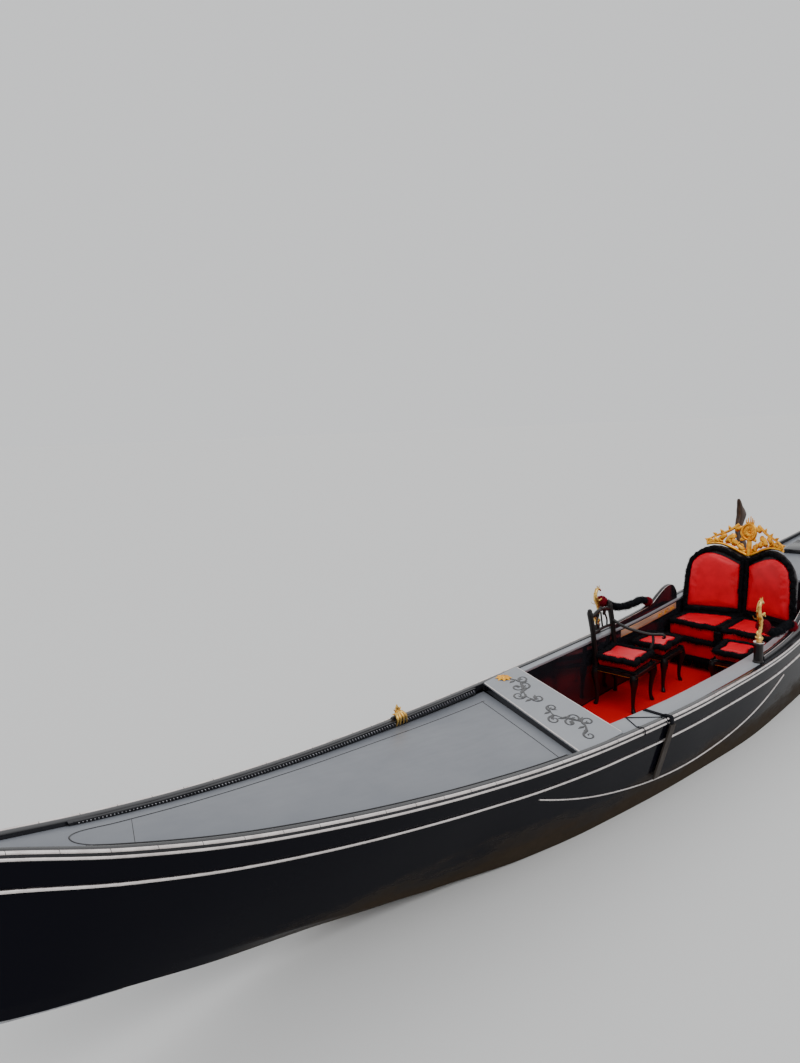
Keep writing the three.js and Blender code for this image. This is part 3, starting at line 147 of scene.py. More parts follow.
@dataclass
class HullLines:
    """The smooth lines of the hull, drawn through its stations."""

    plank: float = 0.022
    bilge: float = 0.034
    bilge_width: float = 0.100
    rail_width: float = 0.046
    rail_depth: float = 0.040
    setback: float = 0.008
    turn_height: float = 0.055
    drop: float = 0.050
    drop_lost: float = 0.030
    full_to: float = 2.0
    easing: float = 2.6

    def __post_init__(self) -> None:
        """Works out the slope of every line at every station."""
        self.xs = np.array([station.x for station in STATIONS])
        self.columns = {
            name: np.array([getattr(station, name) for station in STATIONS])
            for name in ("port", "star", "sheer", "bottom", "turn")
        }
        self.slopes = {name: self._slopes(values) for name, values in self.columns.items()}

    def _slopes(self, values: np.ndarray) -> np.ndarray:
        """Slopes that never overshoot the stations.

        Args:
            values: one column of the stations.

        Returns:
            The slope at each station.
        """
        steps = np.diff(values) / np.diff(self.xs)
        slopes = np.zeros_like(values)
        slopes[0], slopes[-1] = steps[0], steps[-1]
        for i in range(1, len(values) - 1):
            before, after = steps[i - 1], steps[i]
            slopes[i] = 0.0 if before * after <= 0 else 2 * before * after / (before + after)
        return slopes

    def value(self, name: str, x: float) -> float:
        """One line's value at a place.

        Args:
            name: the column of the stations.
            x: the place along the boat.

        Returns:
            The line's height or half breadth there.
        """
        i = int(np.clip(np.searchsorted(self.xs, x, side="right") - 1, 0, len(self.xs) - 2))
        step = self.xs[i + 1] - self.xs[i]
        t = unit((x - self.xs[i]) / step)
        values, slopes = self.columns[name], self.slopes[name]
        rise = values[i] * (2 * t**3 - 3 * t**2 + 1) + values[i + 1] * (3 * t**2 - 2 * t**3)
        bend = slopes[i] * (t**3 - 2 * t**2 + t) + slopes[i + 1] * (t**3 - t**2)
        return float(rise + step * bend)

    def sheer(self, x: float) -> float:
        """Height of the top of the rail."""
        return self.value("sheer", x)

    def bottom(self, x: float) -> float:
        """Height of the underside of the hull."""
        return self.value("bottom", x)

    def rail(self, side: Side, x: float) -> float:
        """Half breadth of the outside of the rail."""
        return self.value("port" if side is Side.PORT else "star", x)

    def rail_inner(self, side: Side, x: float) -> float:
        """Half breadth of the inside of the rail."""
        edge = self.rail(side, x)
        return max(edge - self.rail_width, 0.25 * edge)

    def turn(self, side: Side, x: float) -> float:
        """Half breadth at the turn of the bilge."""
        port = self.value("turn", x)
        return port if side is Side.PORT else port * self.value("star", x) / self.value("port", x)

    def foot(self, side: Side, x: float) -> float:
        """Half breadth of the flat bottom."""
        turn = self.turn(side, x)
        return turn - min(self.bilge_width, 0.35 * turn)

    def outer(self, side: Side, x: float, z: float) -> float:
        """Half breadth of the outside of the planking.

        Args:
            side: the side of the boat.
            x: the place along it.
            z: the height.

        Returns:
            The half breadth there.
        """
        low = self.bottom(x) + self.turn_height
        high = self.sheer(x) - self.rail_depth
        top = self.rail(side, x) - self.setback
        return self.turn(side, x) + (top - self.turn(side, x)) * (z - low) / (high - low)

    def deck_drop(self, x: float) -> float:
        """How far the edge of a deck lies below the top of the rail."""
        return self.drop - self.drop_lost * unit((abs(x) - self.full_to) / self.easing)

    def deck_edge(self, x: float) -> float:
        """Height of the edge of a deck."""
        return self.sheer(x) - self.deck_drop(x)


LINES = HullLines()


def places(start: float, end: float, step: float) -> list[float]:
    """Evenly spaced places, both ends included.

    Args:
        start: the first place.
        end: the last place.
        step: the spacing aimed at.

    Returns:
        The places.
    """
    return list(np.linspace(start, end, max(int(round(abs(end - start) / step)), 1) + 1))


def round_turn(count: int) -> list[float]:
    """The angles of points evenly spaced round a circle."""
    return [2 * math.pi * k / count for k in range(count)]


# Making and finishing meshes.


def activate(obj: Piece) -> None:
    """Makes one object the only selected and the active one.

    Args:
        obj: the object.
    """
    bpy.ops.object.select_all(action="DESELECT")
    obj.select_set(True)
    bpy.context.view_layer.objects.active = obj


def open_mesh(obj: Piece) -> None:
    """Starts editing one object's mesh, with all of it selected.

    Args:
        obj: the object.
    """
    activate(obj)
    bpy.ops.object.mode_set(mode="EDIT")
    bpy.ops.mesh.select_all(action="SELECT")


def face_out() -> None:
    """Turns the faces of the mesh that is being edited outwards."""
    bpy.ops.mesh.select_all(action="SELECT")
    bpy.ops.mesh.normals_make_consistent(inside=False)


def close_mesh() -> None:
    """Ends editing."""
    bpy.ops.object.mode_set(mode="OBJECT")


def faced_out(obj: Piece) -> Piece:
    """Turns an object's faces outwards.

    Args:
        obj: the object.

    Returns:
        The same object.
    """
    open_mesh(obj)
    face_out()
    close_mesh()
    return obj


def settled() -> Piece:
    """The object just added, its place, turn and scale moved into its mesh."""
    bpy.ops.object.transform_apply(location=True, rotation=True, scale=True)
    return bpy.context.object


def named(obj: Piece, name: str) -> Piece:
    """Names an object and its mesh.

    Args:
        obj: the object.
        name: the name.

    Returns:
        The same object.
    """
    obj.name = name
    obj.data.name = name
    return obj


def points_of(obj: Piece) -> np.ndarray:
    """The places of an object's vertices.

    Args:
        obj: the object.

    Returns:
        One vertex a row.
    """
    flat = np.zeros(len(obj.data.vertices) * 3)
    obj.data.vertices.foreach_get("co", flat)
    return flat.reshape(-1, 3)


def move_points(obj: Piece, points: np.ndarray) -> None:
    """Gives an object's vertices new places."""
    obj.data.vertices.foreach_set("co", points.ravel())
    obj.data.update()


def net(name: str, rows: Sequence[Sequence[Point]], around: bool = True, capped: bool = True) -> Piece:
    """A skin over rows of points, made from a grid.

    Args:
        name: the new object's name.
        rows: rows of the same number of points.
        around: whether each row closes on itself.
        capped: whether the open ends are filled.

    Returns:
        The new object, with its faces turned outwards.
    """
    points = np.array(rows, dtype=float)
    if around:
        points = np.concatenate([points, points[:, :1]], axis=1)
    count, width = points.shape[:2]
    bpy.ops.mesh.primitive_grid_add(x_subdivisions=width - 1, y_subdivisions=count - 1, size=1.0)
    obj = named(bpy.context.object, name)
    grid = points_of(obj) + 0.5
    across = np.rint(grid[:, 0] * (width - 1)).astype(int)
    along = np.rint(grid[:, 1] * (count - 1)).astype(int)
    move_points(obj, points[along, across])
    open_mesh(obj)
    bpy.ops.mesh.remove_doubles(threshold=1e-6)
    if capped:
        bpy.ops.mesh.select_all(action="SELECT")
        bpy.ops.mesh.fill_holes(sides=0)
    face_out()
    close_mesh()
    return obj


def ball(segments: int, rings: int, radius: float, place: Point, stretch: Point) -> Piece:
    """A stretched ball.

    Args:
        segments: its sides, seen from above.
        rings: its bands from pole to pole.
        radius: its radius before it is stretched.
        place: its middle.
        stretch: how much it is stretched along each axis.

    Returns:
        The new object.
    """
    bpy.ops.mesh.primitive_uv_sphere_add(segments=segments, ring_count=rings, radius=radius, location=place)
    bpy.ops.transform.resize(value=stretch)
    return settled()


def smooth(obj: Piece, angle: float = 35.0) -> Piece:
    """Shades an object smooth except across its sharp edges.

    Args:
        obj: the object.
        angle: edges sharper than this, in degrees, stay sharp.

    Returns:
        The same object.
    """
    activate(obj)
    bpy.ops.object.shade_smooth_by_angle(angle=math.radians(angle), keep_sharp_edges=False)
    return obj


def bevelled(obj: Piece, width: float, segments: int = 2, angle: float = 30.0) -> Piece:
    """Rounds an object's sharp edges.

    Args:
        obj: the object.
        width: the width of the rounding.
        segments: faces across it.
        angle: edges sharper than this, in degrees, are rounded.

    Returns:
        The same object.
    """
    activate(obj)
    bevel = obj.modifiers.new("edges", "BEVEL")
    bevel.width = width
    bevel.segments = segments
    bevel.limit_method = "ANGLE"
    bevel.angle_limit = math.radians(angle)
    bevel.harden_normals = False
    bpy.ops.object.modifier_apply(modifier=bevel.name)
    return obj


def joined(name: str, parts: Sequence[Piece]) -> Piece:
    """Several objects as one.

    Args:
        name: the name of the result.
        parts: the objects, which must not be used afterwards.

    Returns:
        The joined object.
    """
    activate(parts[0])
    for part in parts[1:]:
        part.select_set(True)
    if len(parts) > 1:
        bpy.ops.object.join()
    return named(bpy.context.object, name)


def tube(name: str, path: Sequence[Point], radii: Sequence[float] | float, sides: int = 10,
         flat: float = 1.0) -> Piece:
    """A round bar along a path.

    Args:
        name: the new object's name.
        path: the points that it follows.
        radii: one radius, or one for each point.
        sides: the number of sides.
        flat: the height of the section as a share of its width.

    Returns:
        The new object.
    """
    line = [Vector(point) for point in path]
    sizes = [radii] * len(line) if isinstance(radii, (int, float)) else list(radii)
    up = Vector((0, 0, 1))
    rows = []
    for i, point in enumerate(line):
        ahead = line[min(i + 1, len(line) - 1)] - line[max(i - 1, 0)]
        ahead.normalize()
        if i == 0 and abs(ahead.z) > 0.9:
            up = Vector((1, 0, 0))
        across = ahead.cross(up).normalized()
        up = across.cross(ahead).normalized()
        rows.append([
            point + across * (math.cos(a) * sizes[i]) + up * (math.sin(a) * sizes[i] * flat)
            for a in round_turn(sides)
        ])
    return net(name, rows)


def tapered(name: str, path: Sequence[Point], start: float, end: float, sides: int,
            flat: float = 1.0) -> Piece:
    """A round bar whose radius changes evenly along its path.

    Args:
        name: the new object's name.
        path: the points that it follows.
        start: its first radius.
        end: its last radius.
        sides: the number of sides.
        flat: the height of the section as a share of its width.

    Returns:
        The new object.
    """
    return tube(name, path, list(np.linspace(start, end, len(path))), sides, flat)


def spread(sizes: Sequence[float], count: int) -> np.ndarray:
    """Sizes spread evenly over a number of points.

    Args:
        sizes: the sizes from the first point to the last.
        count: the number of points.

    Returns:
        A size for each point.
    """
    return np.interp(np.linspace(0, len(sizes) - 1, count), range(len(sizes)), sizes)


def smooth_path(points: Sequence[Point], steps: int) -> list[Vector]:
    """A smooth curve through points.

    Args:
        points: the points to pass through.
        steps: the number of steps between two of them.

    Returns:
        The points of the curve.
    """
    line = [Vector(point) for point in points]
    padded = [line[0] * 2 - line[1], *line, line[-1] * 2 - line[-2]]
    curve = []
    for a, b, c, d in zip(padded, padded[1:], padded[2:], padded[3:]):
        second, third = 2 * a - 5 * b + 4 * c - d, 3 * b - a - 3 * c + d
        for k in range(steps):
            t = k / steps
            curve.append(0.5 * (2 * b + (c - a) * t + second * t**2 + third * t**3))
    return [*curve, line[-1]]


def flat_path(points: Iterable[Flat], steps: int) -> list[Flat]:
    """A smooth curve through points of one plane.

    Args:
        points: the points to pass through.
        steps: the number of steps between two of them.

    Returns:
        The points of the curve.
    """
    return [(point.x, point.z) for point in smooth_path([(u, 0.0, v) for u, v in points], steps)]


def spiral(middle: Flat, start: float, end: float, angle: float, turns: float,
           steps: int = 22) -> list[Flat]:
    """Points of a flat spiral.

    Args:
        middle: its middle.
        start: its radius at the start.
        end: its radius at the end.
        angle: the direction of its first point, in degrees.
        turns: how often it goes round, negative for clockwise.
        steps: the number of its steps.

    Returns:
        The points.
    """
    points = []
    for k in range(steps + 1):
        share = k / steps
        radius = start + (end - start) * share
        turn = math.radians(angle) + 2 * math.pi * turns * share
        points.append((middle[0] + radius * math.cos(turn), middle[1] + radius * math.sin(turn)))
    return points


def copy_of(frame: dict, node: str, name: str) -> Piece:
    """A copy of a frame node with its loose triangles merged.

    Args:
        node: the node's name.
        name: the copy's name.

    Returns:
        The new object.
    """
    source = frame["nodes"][node]
    obj = bpy.data.objects.new(name, source.data.copy())
    obj.data.name = name
    obj.data.materials.clear()
    bpy.context.scene.collection.objects.link(obj)
    open_mesh(obj)
    bpy.ops.mesh.remove_doubles(threshold=1e-5)
    bpy.ops.mesh.dissolve_limited(angle_limit=math.radians(0.4))
    close_mesh()
    for layer in list(obj.data.attributes):
        if layer.name in ("sharp_face", "sharp_edge", "custom_normal"):
            obj.data.attributes.remove(layer)
    return obj


def dressed(obj: Piece, finish: Finishes, nodes: Iterable[str] = (), body: str = HULL) -> Piece:
    """Gives a finished piece its material, its body and the nodes that it stands for.

    Args:
        obj: the piece.
        finish: its finish.
        nodes: the frame nodes that it replaces.
        body: the frame body that it rides on.

    Returns:
        The same piece.
    """
    obj.data.materials.clear()
    obj.data.materials.append(finish.value.material())
    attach(obj, body)
    names = list(nodes)
    if names:
        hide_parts(*names)
    LOG.info("%s: %d faces, %s", obj.name, len(obj.data.polygons), finish.value.slot)
    return obj


def finished(name: str, parts: Sequence[Piece], finish: Finishes, nodes: Iterable[str] = (),
             angle: float = 60.0) -> Piece:
    """One piece from its parts, smoothed and dressed.

    Args:
        name: the piece's name.
        parts: its parts.
        finish: its finish.
        nodes: the frame nodes that it replaces.
        angle: edges sharper than this, in degrees, stay sharp.

    Returns:
        The piece.
    """
    return dressed(smooth(joined(name, parts), angle), finish, nodes)


def reworked(frame: dict, node: str, finish: Finishes, width: float, name: str = "", segments: int = 2,
             angle: float = 35.0) -> Piece:
    """A rounded, smoothed and dressed copy of a frame node, in the node's place.

    Args:
        node: the node's name.
        finish: the copy's finish.
        width: the width of the rounding.
        name: the copy's name, if it isn't the node's with "_made" after it.
        segments: faces across the rounding.
        angle: edges sharper than this, in degrees, stay sharp.

    Returns:
        The copy.
    """
    piece = bevelled(copy_of(frame, node, name or node + "_made"), width, segments)
    return dressed(smooth(piece, angle), finish, [node])


# Finishes.


class Sheet:
    """A material's node tree, built a node at a time."""

    def __init__(self, name: str) -> None:
        """Starts an empty material with its shader and output.

        Args:
            name: the material's name.
        """
        self.material = bpy.data.materials.new(name)
        self.material.use_nodes = True
        self.tree = self.material.node_tree
        self.tree.nodes.clear()
        self.shader = self.tree.nodes.new("ShaderNodeBsdfPrincipled")
        output = self.tree.nodes.new("ShaderNodeOutputMaterial")
        self.tree.links.new(self.shader.outputs[0], output.inputs[0])
        self.place = self.tree.nodes.new("ShaderNodeTexCoord").outputs["Object"]

    def node(self, kind: str, links: dict | None = None, **values: object) -> bpy.types.Node:
        """Adds a node.

        Args:
            kind: the node's type without its ShaderNode prefix.
            links: input name or number to the socket that feeds it.
            values: properties, or input values written with a leading i_.

        Returns:
            The new node.
        """
        made = self.tree.nodes.new("ShaderNode" + kind)
        for key, value in values.items():
            if key.startswith("i_"):
                made.inputs[key[2:].replace("_", " ")].default_value = value
            else:
                setattr(made, key, value)
        for key, socket in (links or {}).items():
            self.tree.links.new(socket, made.inputs[key])
        return made

    def noise(self, scale: float, detail: float = 4.0, stretch: Point | None = None,
              rough: float = 0.5) -> Socket:
        """A noise pattern on the piece.

        Args:
            scale: its scale, in waves a metre.
            detail: its detail.
            stretch: a scale for each axis.
            rough: how strong the fine detail is.

        Returns:
            The socket of its value.
        """
        place = self.place
        if stretch is not None:
            place = self.node("Mapping", {"Vector": place}, i_Scale=tuple(stretch)).outputs[0]
        pattern = self.node("TexNoise", {"Vector": place}, i_Scale=scale, i_Detail=detail, i_Roughness=rough)
        return pattern.outputs[0]

    def span(self, value: Socket, low: float, high: float, start: float = 0.0, end: float = 1.0) -> Socket:
        """A pattern's values stretched to a new span.

        Args:
            value: the pattern.
            low: the value given where the pattern is at start.
            high: the value given where it is at end.
            start: the pattern's lower bound.
            end: the pattern's upper bound.

        Returns:
            The socket of the result.
        """
        links = {"Value": value}
        made = self.node("MapRange", links, i_From_Min=start, i_From_Max=end, i_To_Min=low, i_To_Max=high)
        return made.outputs[0]

    def mix(self, share: Socket, first: Socket | Point, second: Socket | Point) -> Socket:
        """Two colours mixed by a pattern.

        Args:
            share: how much of the second shows.
            first: a colour or the socket of one.
            second: a colour or the socket of one.

        Returns:
            The socket of the mixed colour.
        """
        made = self.node("Mix", data_type="RGBA")
        self.tree.links.new(share, made.inputs[0])
        for place, colour in ((6, first), (7, second)):
            if isinstance(colour, Socket):
                self.tree.links.new(colour, made.inputs[place])
            else:
                made.inputs[place].default_value = (*colour, 1.0)
        return made.outputs[2]

    def feed(self, name: str, value: Socket | Point | float) -> None:
        """Sets or links one of the shader's inputs.

        Args:
            name: the input's name.
            value: its value, or the socket that feeds it.
        """
        if isinstance(value, Socket):
            self.tree.links.new(value, self.shader.inputs[name])
        else:
            self.shader.inputs[name].default_value = (*value, 1.0) if isinstance(value, tuple) else value

    def bump(self, height: Socket, distance: float, strength: float) -> None:
        """Raises and lowers the surface by a pattern, over what was raised before.

        Args:
            height: the pattern.
            distance: how far it raises the surface.
            strength: how much of that shows.
        """
        links = {"Height": height}
        before = self.shader.inputs["Normal"].links
        if before:
            links["Normal"] = before[0].from_socket
        made = self.node("Bump", links, i_Distance=distance, i_Strength=strength)
        self.tree.links.new(made.outputs[0], self.shader.inputs["Normal"])


@dataclass(frozen=True)
class Finish:
    """A finish: its name, the record's slot, and its two colours."""

    name: str
    slot: str
    colour: Point
    shade: Point

    def lay(self, sheet: Sheet) -> None:
        """Builds the finish in an empty material; each kind of finish has its own way."""
        raise NotImplementedError(self.name)

    def material(self) -> bpy.types.Material:
        """The finish's material, made the first time it is asked for.

        Returns:
            The material.
        """
        found = bpy.data.materials.get(self.name)
        if found is None:
            sheet = Sheet(self.name)
            self.lay(sheet)
            found = sheet.material
        return found


@dataclass(frozen=True)
class Lacquer(Finish):
    """Brushed lacquer on wood, with a film of dust and water marks in its gloss."""

    film: float
    roughness: float
    shine: float = 0.4

    def lay(self, sheet: Sheet) -> None:
        """Lays the film, its gloss and the brush marks.

        Args:
            sheet: the empty material.
        """
        film = sheet.noise(2.2, 6.0, rough=0.62)
        share = sheet.span(film, 0.35 * self.film, self.film, 0.35, 0.7)
        sheet.feed("Base Color", sheet.mix(share, self.colour, self.shade))
        streaks = sheet.noise(30.0, 3.0, (0.15, 1.0, 1.0))
        sheet.feed("Roughness", sheet.span(streaks, self.roughness, self.roughness + 0.10, 0.3, 0.75))
        sheet.feed("Specular IOR Level", self.shine)
        sheet.bump(streaks, 0.0004, 0.12)
        sheet.bump(sheet.noise(60.0, 4.0), 0.0006, 0.10)


@dataclass(frozen=True)
class StainedPaint(Finish):
    """Glossy paint, stained from the height low down and clean from the height high up."""

    high: float
    low: float

    def lay(self, sheet: Sheet) -> None:
        """Mixes the stains in by height, with a ragged edge.

        Args:
            sheet: the empty material.
        """
        height = sheet.node("SeparateXYZ", {0: sheet.place}).outputs[2]
        ragged = sheet.span(sheet.noise(3.5, 8.0, (0.5, 1.0, 2.0), 0.65), -0.10, 0.10, 0.3, 0.7)
        wave = sheet.node("Math", {0: height, 1: ragged}, operation="ADD").outputs[0]
        stained = sheet.span(wave, 1.0, 0.0, self.low, self.high)
        patches = sheet.noise(22.0, 6.0, None, 0.7)
        shade = sheet.mix(patches, self.shade, tuple(0.45 * c for c in self.shade))
        sheet.feed("Base Color", sheet.mix(stained, self.colour, shade))
        sheet.feed("Roughness", sheet.span(stained, 0.10, 0.6))
        sheet.feed("Specular IOR Level", 0.035)
        sheet.bump(sheet.noise(5.0, 3.0, (0.3, 1.0, 1.0)), 0.004, 0.12)
        sheet.bump(patches, 0.0008, 0.3)


@dataclass(frozen=True)
class Metal(Finish):
    """Worn metal with patches of tarnish and fine scratches."""

    roughness: float
    brushed: Point = (1.0, 1.0, 1.0)

    def lay(self, sheet: Sheet) -> None:
        """Lays the tarnish and the scratches.

        Args:
            sheet: the empty material.
        """
        tarnish = sheet.span(sheet.noise(14.0, 6.0, None, 0.6), 0.0, 1.0, 0.42, 0.72)
        sheet.feed("Base Color", sheet.mix(tarnish, self.colour, self.shade))
        sheet.feed("Metallic", 1.0)
        scratches = sheet.noise(160.0, 3.0, self.brushed)
        sheet.feed("Roughness", sheet.span(scratches, self.roughness, self.roughness + 0.2, 0.3, 0.8))
        sheet.bump(scratches, 0.0004, 0.3)
        sheet.bump(sheet.noise(40.0, 3.0), 0.001, 0.25)


@dataclass(frozen=True)
class Satin(Finish):
    """Woven satin with a soft sheen."""

    def lay(self, sheet: Sheet) -> None:
        """Lays the weave and the uneven dye.

        Args:
            sheet: the empty material.
        """
        dye = sheet.span(sheet.noise(9.0, 4.0), 0.0, 1.0, 0.3, 0.75)
        sheet.feed("Base Color", sheet.mix(dye, self.colour, self.shade))
        weave = sheet.noise(900.0, 2.0, (1.0, 0.35, 1.0))
        sheet.feed("Roughness", sheet.span(weave, 0.27, 0.42))
        sheet.feed("Specular IOR Level", 0.32)
        sheet.feed("Sheen Weight", 0.05)
        sheet.feed("Sheen Roughness", 0.35)
        sheet.feed("Sheen Tint", (1.0, 0.3, 0.4))
        sheet.bump(weave, 0.0006, 0.35)
        sheet.bump(sheet.noise(24.0, 3.0), 0.004, 0.18)


@dataclass(frozen=True)
class Wool(Finish):
    """Matt wool, fringe or pile; its scale is that of the fibres, in waves a metre."""

    scale: float = 260.0

    def lay(self, sheet: Sheet) -> None:
        """Lays fibres lighter and darker than each other.

        Args:
            sheet: the empty material.
        """
        fibres = sheet.noise(self.scale, 4.0)
        light = sheet.span(fibres, 0.0, 1.0, 0.3, 0.7)
        sheet.feed("Base Color", sheet.mix(light, self.shade, self.colour))
        sheet.feed("Roughness", 0.95)
        sheet.feed("Specular IOR Level", 0.15)
        sheet.bump(fibres, 0.002, 0.8)
        sheet.bump(sheet.noise(self.scale * 0.06, 3.0), 0.004, 0.3)


@dataclass(frozen=True)
class Wood(Finish):
    """Oiled wood with its grain along the axis on which it is stretched most."""

    roughness: float
    stretch: Point = (0.08, 1.0, 1.0)

    def lay(self, sheet: Sheet) -> None:
        """Lays the grain.

        Args:
            sheet: the empty material.
        """
        grain = sheet.noise(38.0, 8.0, self.stretch, 0.62)
        lines = sheet.span(grain, 0.0, 1.0, 0.35, 0.65)
        sheet.feed("Base Color", sheet.mix(lines, self.colour, self.shade))
        sheet.feed("Roughness", sheet.span(grain, self.roughness, self.roughness + 0.2))
        sheet.feed("Specular IOR Level", 0.3)
        sheet.bump(grain, 0.0012, 0.3)


UPRIGHT = (1.0, 1.0, 0.1)


class Finishes(Enum):
    """Every finish of the boat."""

    LACQUER = Lacquer("black_lacquer", "lacquer", (0.004, 0.004, 0.006), (0.05, 0.05, 0.06), 0.25, 0.1)
    DECK = Lacquer("deck_lacquer", "deck_gloss", (0.155, 0.165, 0.19), (0.24, 0.25, 0.27), 0.6, 0.34, 0.3)
    PALE_DECK = Lacquer("pale_deck_lacquer", "deck_gloss", (0.25, 0.265, 0.29), (0.34, 0.35, 0.37),
                        0.6, 0.34, 0.3)
    # Pale metal mixed with black on the black carved leaves, the pale painted in for their highlights.
    CARVED = Metal("carved_lacquer", "lacquer", (0.55, 0.55, 0.58), (0.12, 0.12, 0.13), 0.25)
    SIDES = StainedPaint("side_lacquer", "lacquer", (0.004, 0.004, 0.007), (0.05, 0.036, 0.024), 0.30, 0.12)
    BOTTOM = StainedPaint("bottom_paint", "bottom_paint", (0.05, 0.04, 0.03), (0.06, 0.07, 0.03), 0.1, 0.0)
    # Pale metal that paints in the sky's highlight on black lacquered beads, strakes, edges and caps.
    STRAKE = Metal("painted_highlight_edge", "strake_paint", (0.86, 0.80, 0.78), (0.60, 0.54, 0.52), 0.22,
                   (0.3, 0.3, 0.3))
    IRON = Metal("polished_iron", "iron", (0.46, 0.47, 0.50), (0.20, 0.19, 0.18), 0.20, (1.0, 1.0, 0.08))
    BRASS = Metal("cast_brass", "brass", (0.86, 0.56, 0.16), (0.38, 0.20, 0.05), 0.2)
    GILT = Metal("gilding", "gilt", (1.0, 0.50, 0.05), (0.62, 0.22, 0.02), 0.25)
    BACKING = Satin("black_cloth", "satin", (0.012, 0.010, 0.014), (0.004, 0.003, 0.005))
    SATIN = Satin("red_satin", "satin", (0.80, 0.0, 0.018), (0.60, 0.0, 0.010))
    CARPET = Wool("red_carpet", "carpet", (0.82, 0.0, 0.006), (0.58, 0.0, 0.003), 420.0)
    FRINGE = Wool("black_fringe", "rope_wool", (0.006, 0.006, 0.008), (0.001, 0.001, 0.002))
    TUFT = Wool("red_tuft", "tuft_wool", (0.36, 0.01, 0.02), (0.12, 0.0, 0.01))
    ROPE = Wool("dark_webbing", "rope_wool", (0.008, 0.009, 0.013), (0.002, 0.002, 0.004), 500.0)
    WALNUT = Wood("oiled_walnut", "walnut", (0.075, 0.034, 0.017), (0.020, 0.009, 0.005), 0.26, UPRIGHT)
    EBONY = Wood("black_wood", "walnut", (0.012, 0.009, 0.009), (0.004, 0.003, 0.003), 0.22, UPRIGHT)
    # Pale pinkish wood, partly its own colour and partly painted reflection of the red and the sky.
    PALE_WOOD_REFLECTION = Wood("pale_wood", "walnut", (0.60, 0.42, 0.31), (0.42, 0.25, 0.17), 0.3)
    FLOOR = Wood("floor_wood", "floor_wood", (0.03, 0.026, 0.022), (0.01, 0.008, 0.007), 0.55)
    RUBBER = Wood("worn_rubber", "rubber", (0.045, 0.034, 0.027), (0.018, 0.013, 0.011), 0.5, UPRIGHT)


# Copies and fringe.


def scattered(name: str, template: Piece, roots: np.ndarray, aims: np.ndarray, widths: np.ndarray,
              droop: float = 0.0) -> Piece:
    """Copies of one small upright piece, each with its own root, direction and width.

    Args:
        name: the new object's name.
        template: the piece, one unit tall along Z, which is used up.
        roots: where each copy stands.
        aims: the direction of each copy, as long as the copy is tall.
        widths: the width of each copy.
        droop: how far a copy's tip sinks, as a share of its length.

    Returns:
        The new object.
    """
    corners = np.array([vertex.co[:] for vertex in template.data.vertices])
    faces = [list(polygon.vertices) for polygon in template.data.polygons]
    bpy.data.objects.remove(template)
    lengths = np.linalg.norm(aims, axis=1, keepdims=True)
    ahead = aims / lengths
    helper = np.where(np.abs(ahead[:, 2:3]) > 0.9, [[1.0, 0.0, 0.0]], [[0.0, 0.0, 1.0]])
    across = np.cross(ahead, helper)
    across /= np.linalg.norm(across, axis=1, keepdims=True)
    up = np.cross(across, ahead)
    points = roots[:, None, :] + across[:, None, :] * (corners[None, :, 0:1] * widths[:, None, None])
    points = points + up[:, None, :] * (corners[None, :, 1:2] * widths[:, None, None])
    points = points + aims[:, None, :] * corners[None, :, 2:3]
    points[:, :, 2] -= droop * lengths * corners[None, :, 2] ** 2
    shift = len(corners) * np.arange(len(roots))
    loops = np.concatenate([np.array(face)[None, :] + shift[:, None] for face in faces], axis=1).ravel()
    totals = np.tile([len(face) for face in faces], len(roots))
    mesh = bpy.data.meshes.new(name)
    mesh.vertices.add(points.shape[0] * points.shape[1])
    mesh.vertices.foreach_set("co", points.ravel())
    mesh.loops.add(len(loops))
    mesh.loops.foreach_set("vertex_index", loops.astype(np.int32))
    mesh.polygons.add(len(totals))
    starts = np.concatenate([[0], np.cumsum(totals)[:-1]])
    mesh.polygons.foreach_set("loop_start", starts.astype(np.int32))
    mesh.update(calc_edges=True)
    mesh.validate()
    obj = bpy.data.objects.new(name, mesh)
    bpy.context.scene.collection.objects.link(obj)
    return obj


def strand() -> Piece:
    """One strand of wool: a three-sided spike, one unit tall and two units wide."""
    bpy.ops.mesh.primitive_cone_add(vertices=3, radius1=1.0, radius2=0.0, depth=1.0, location=(0, 0, 0.5))
    return settled()


def resampled(path: Sequence[Point], step: float) -> np.ndarray:
    """Evenly spaced points along a path.

    Args:
        path: its points.
        step: the spacing.

    Returns:
        The new points, one a row.
    """
    line = np.array([tuple(point) for point in path], dtype=float)
    lengths = np.linalg.norm(np.diff(line, axis=0), axis=1)
    ways = np.concatenate([[0.0], np.cumsum(lengths)])
    wanted = np.linspace(0.0, ways[-1], max(int(round(ways[-1] / step)), 2) + 1)
    return np.stack([np.interp(wanted, ways, line[:, k]) for k in range(3)], axis=1)


def length_of(path: Sequence[Point]) -> float:
    """The length of a path."""
    line = np.array([tuple(point) for point in path], dtype=float)
    return float(np.linalg.norm(np.diff(line, axis=0), axis=1).sum())


def strewn(line: np.ndarray, count: int, draw: np.random.Generator) -> tuple[np.ndarray, np.ndarray]:
    """Random places along a line.

    Args:
        line: the line's points, one a row.
        count: the number of places.
        draw: what they are drawn from.

    Returns:
        The places, and the line's direction at each.
    """
    where = draw.uniform(0.0, len(line) - 1.001, count)
    index = where.astype(int)
    share = (where - index)[:, None]
    ahead = line[index + 1] - line[index]
    ahead /= np.linalg.norm(ahead, axis=1, keepdims=True)
    return line[index] * (1 - share) + line[index + 1] * share, ahead


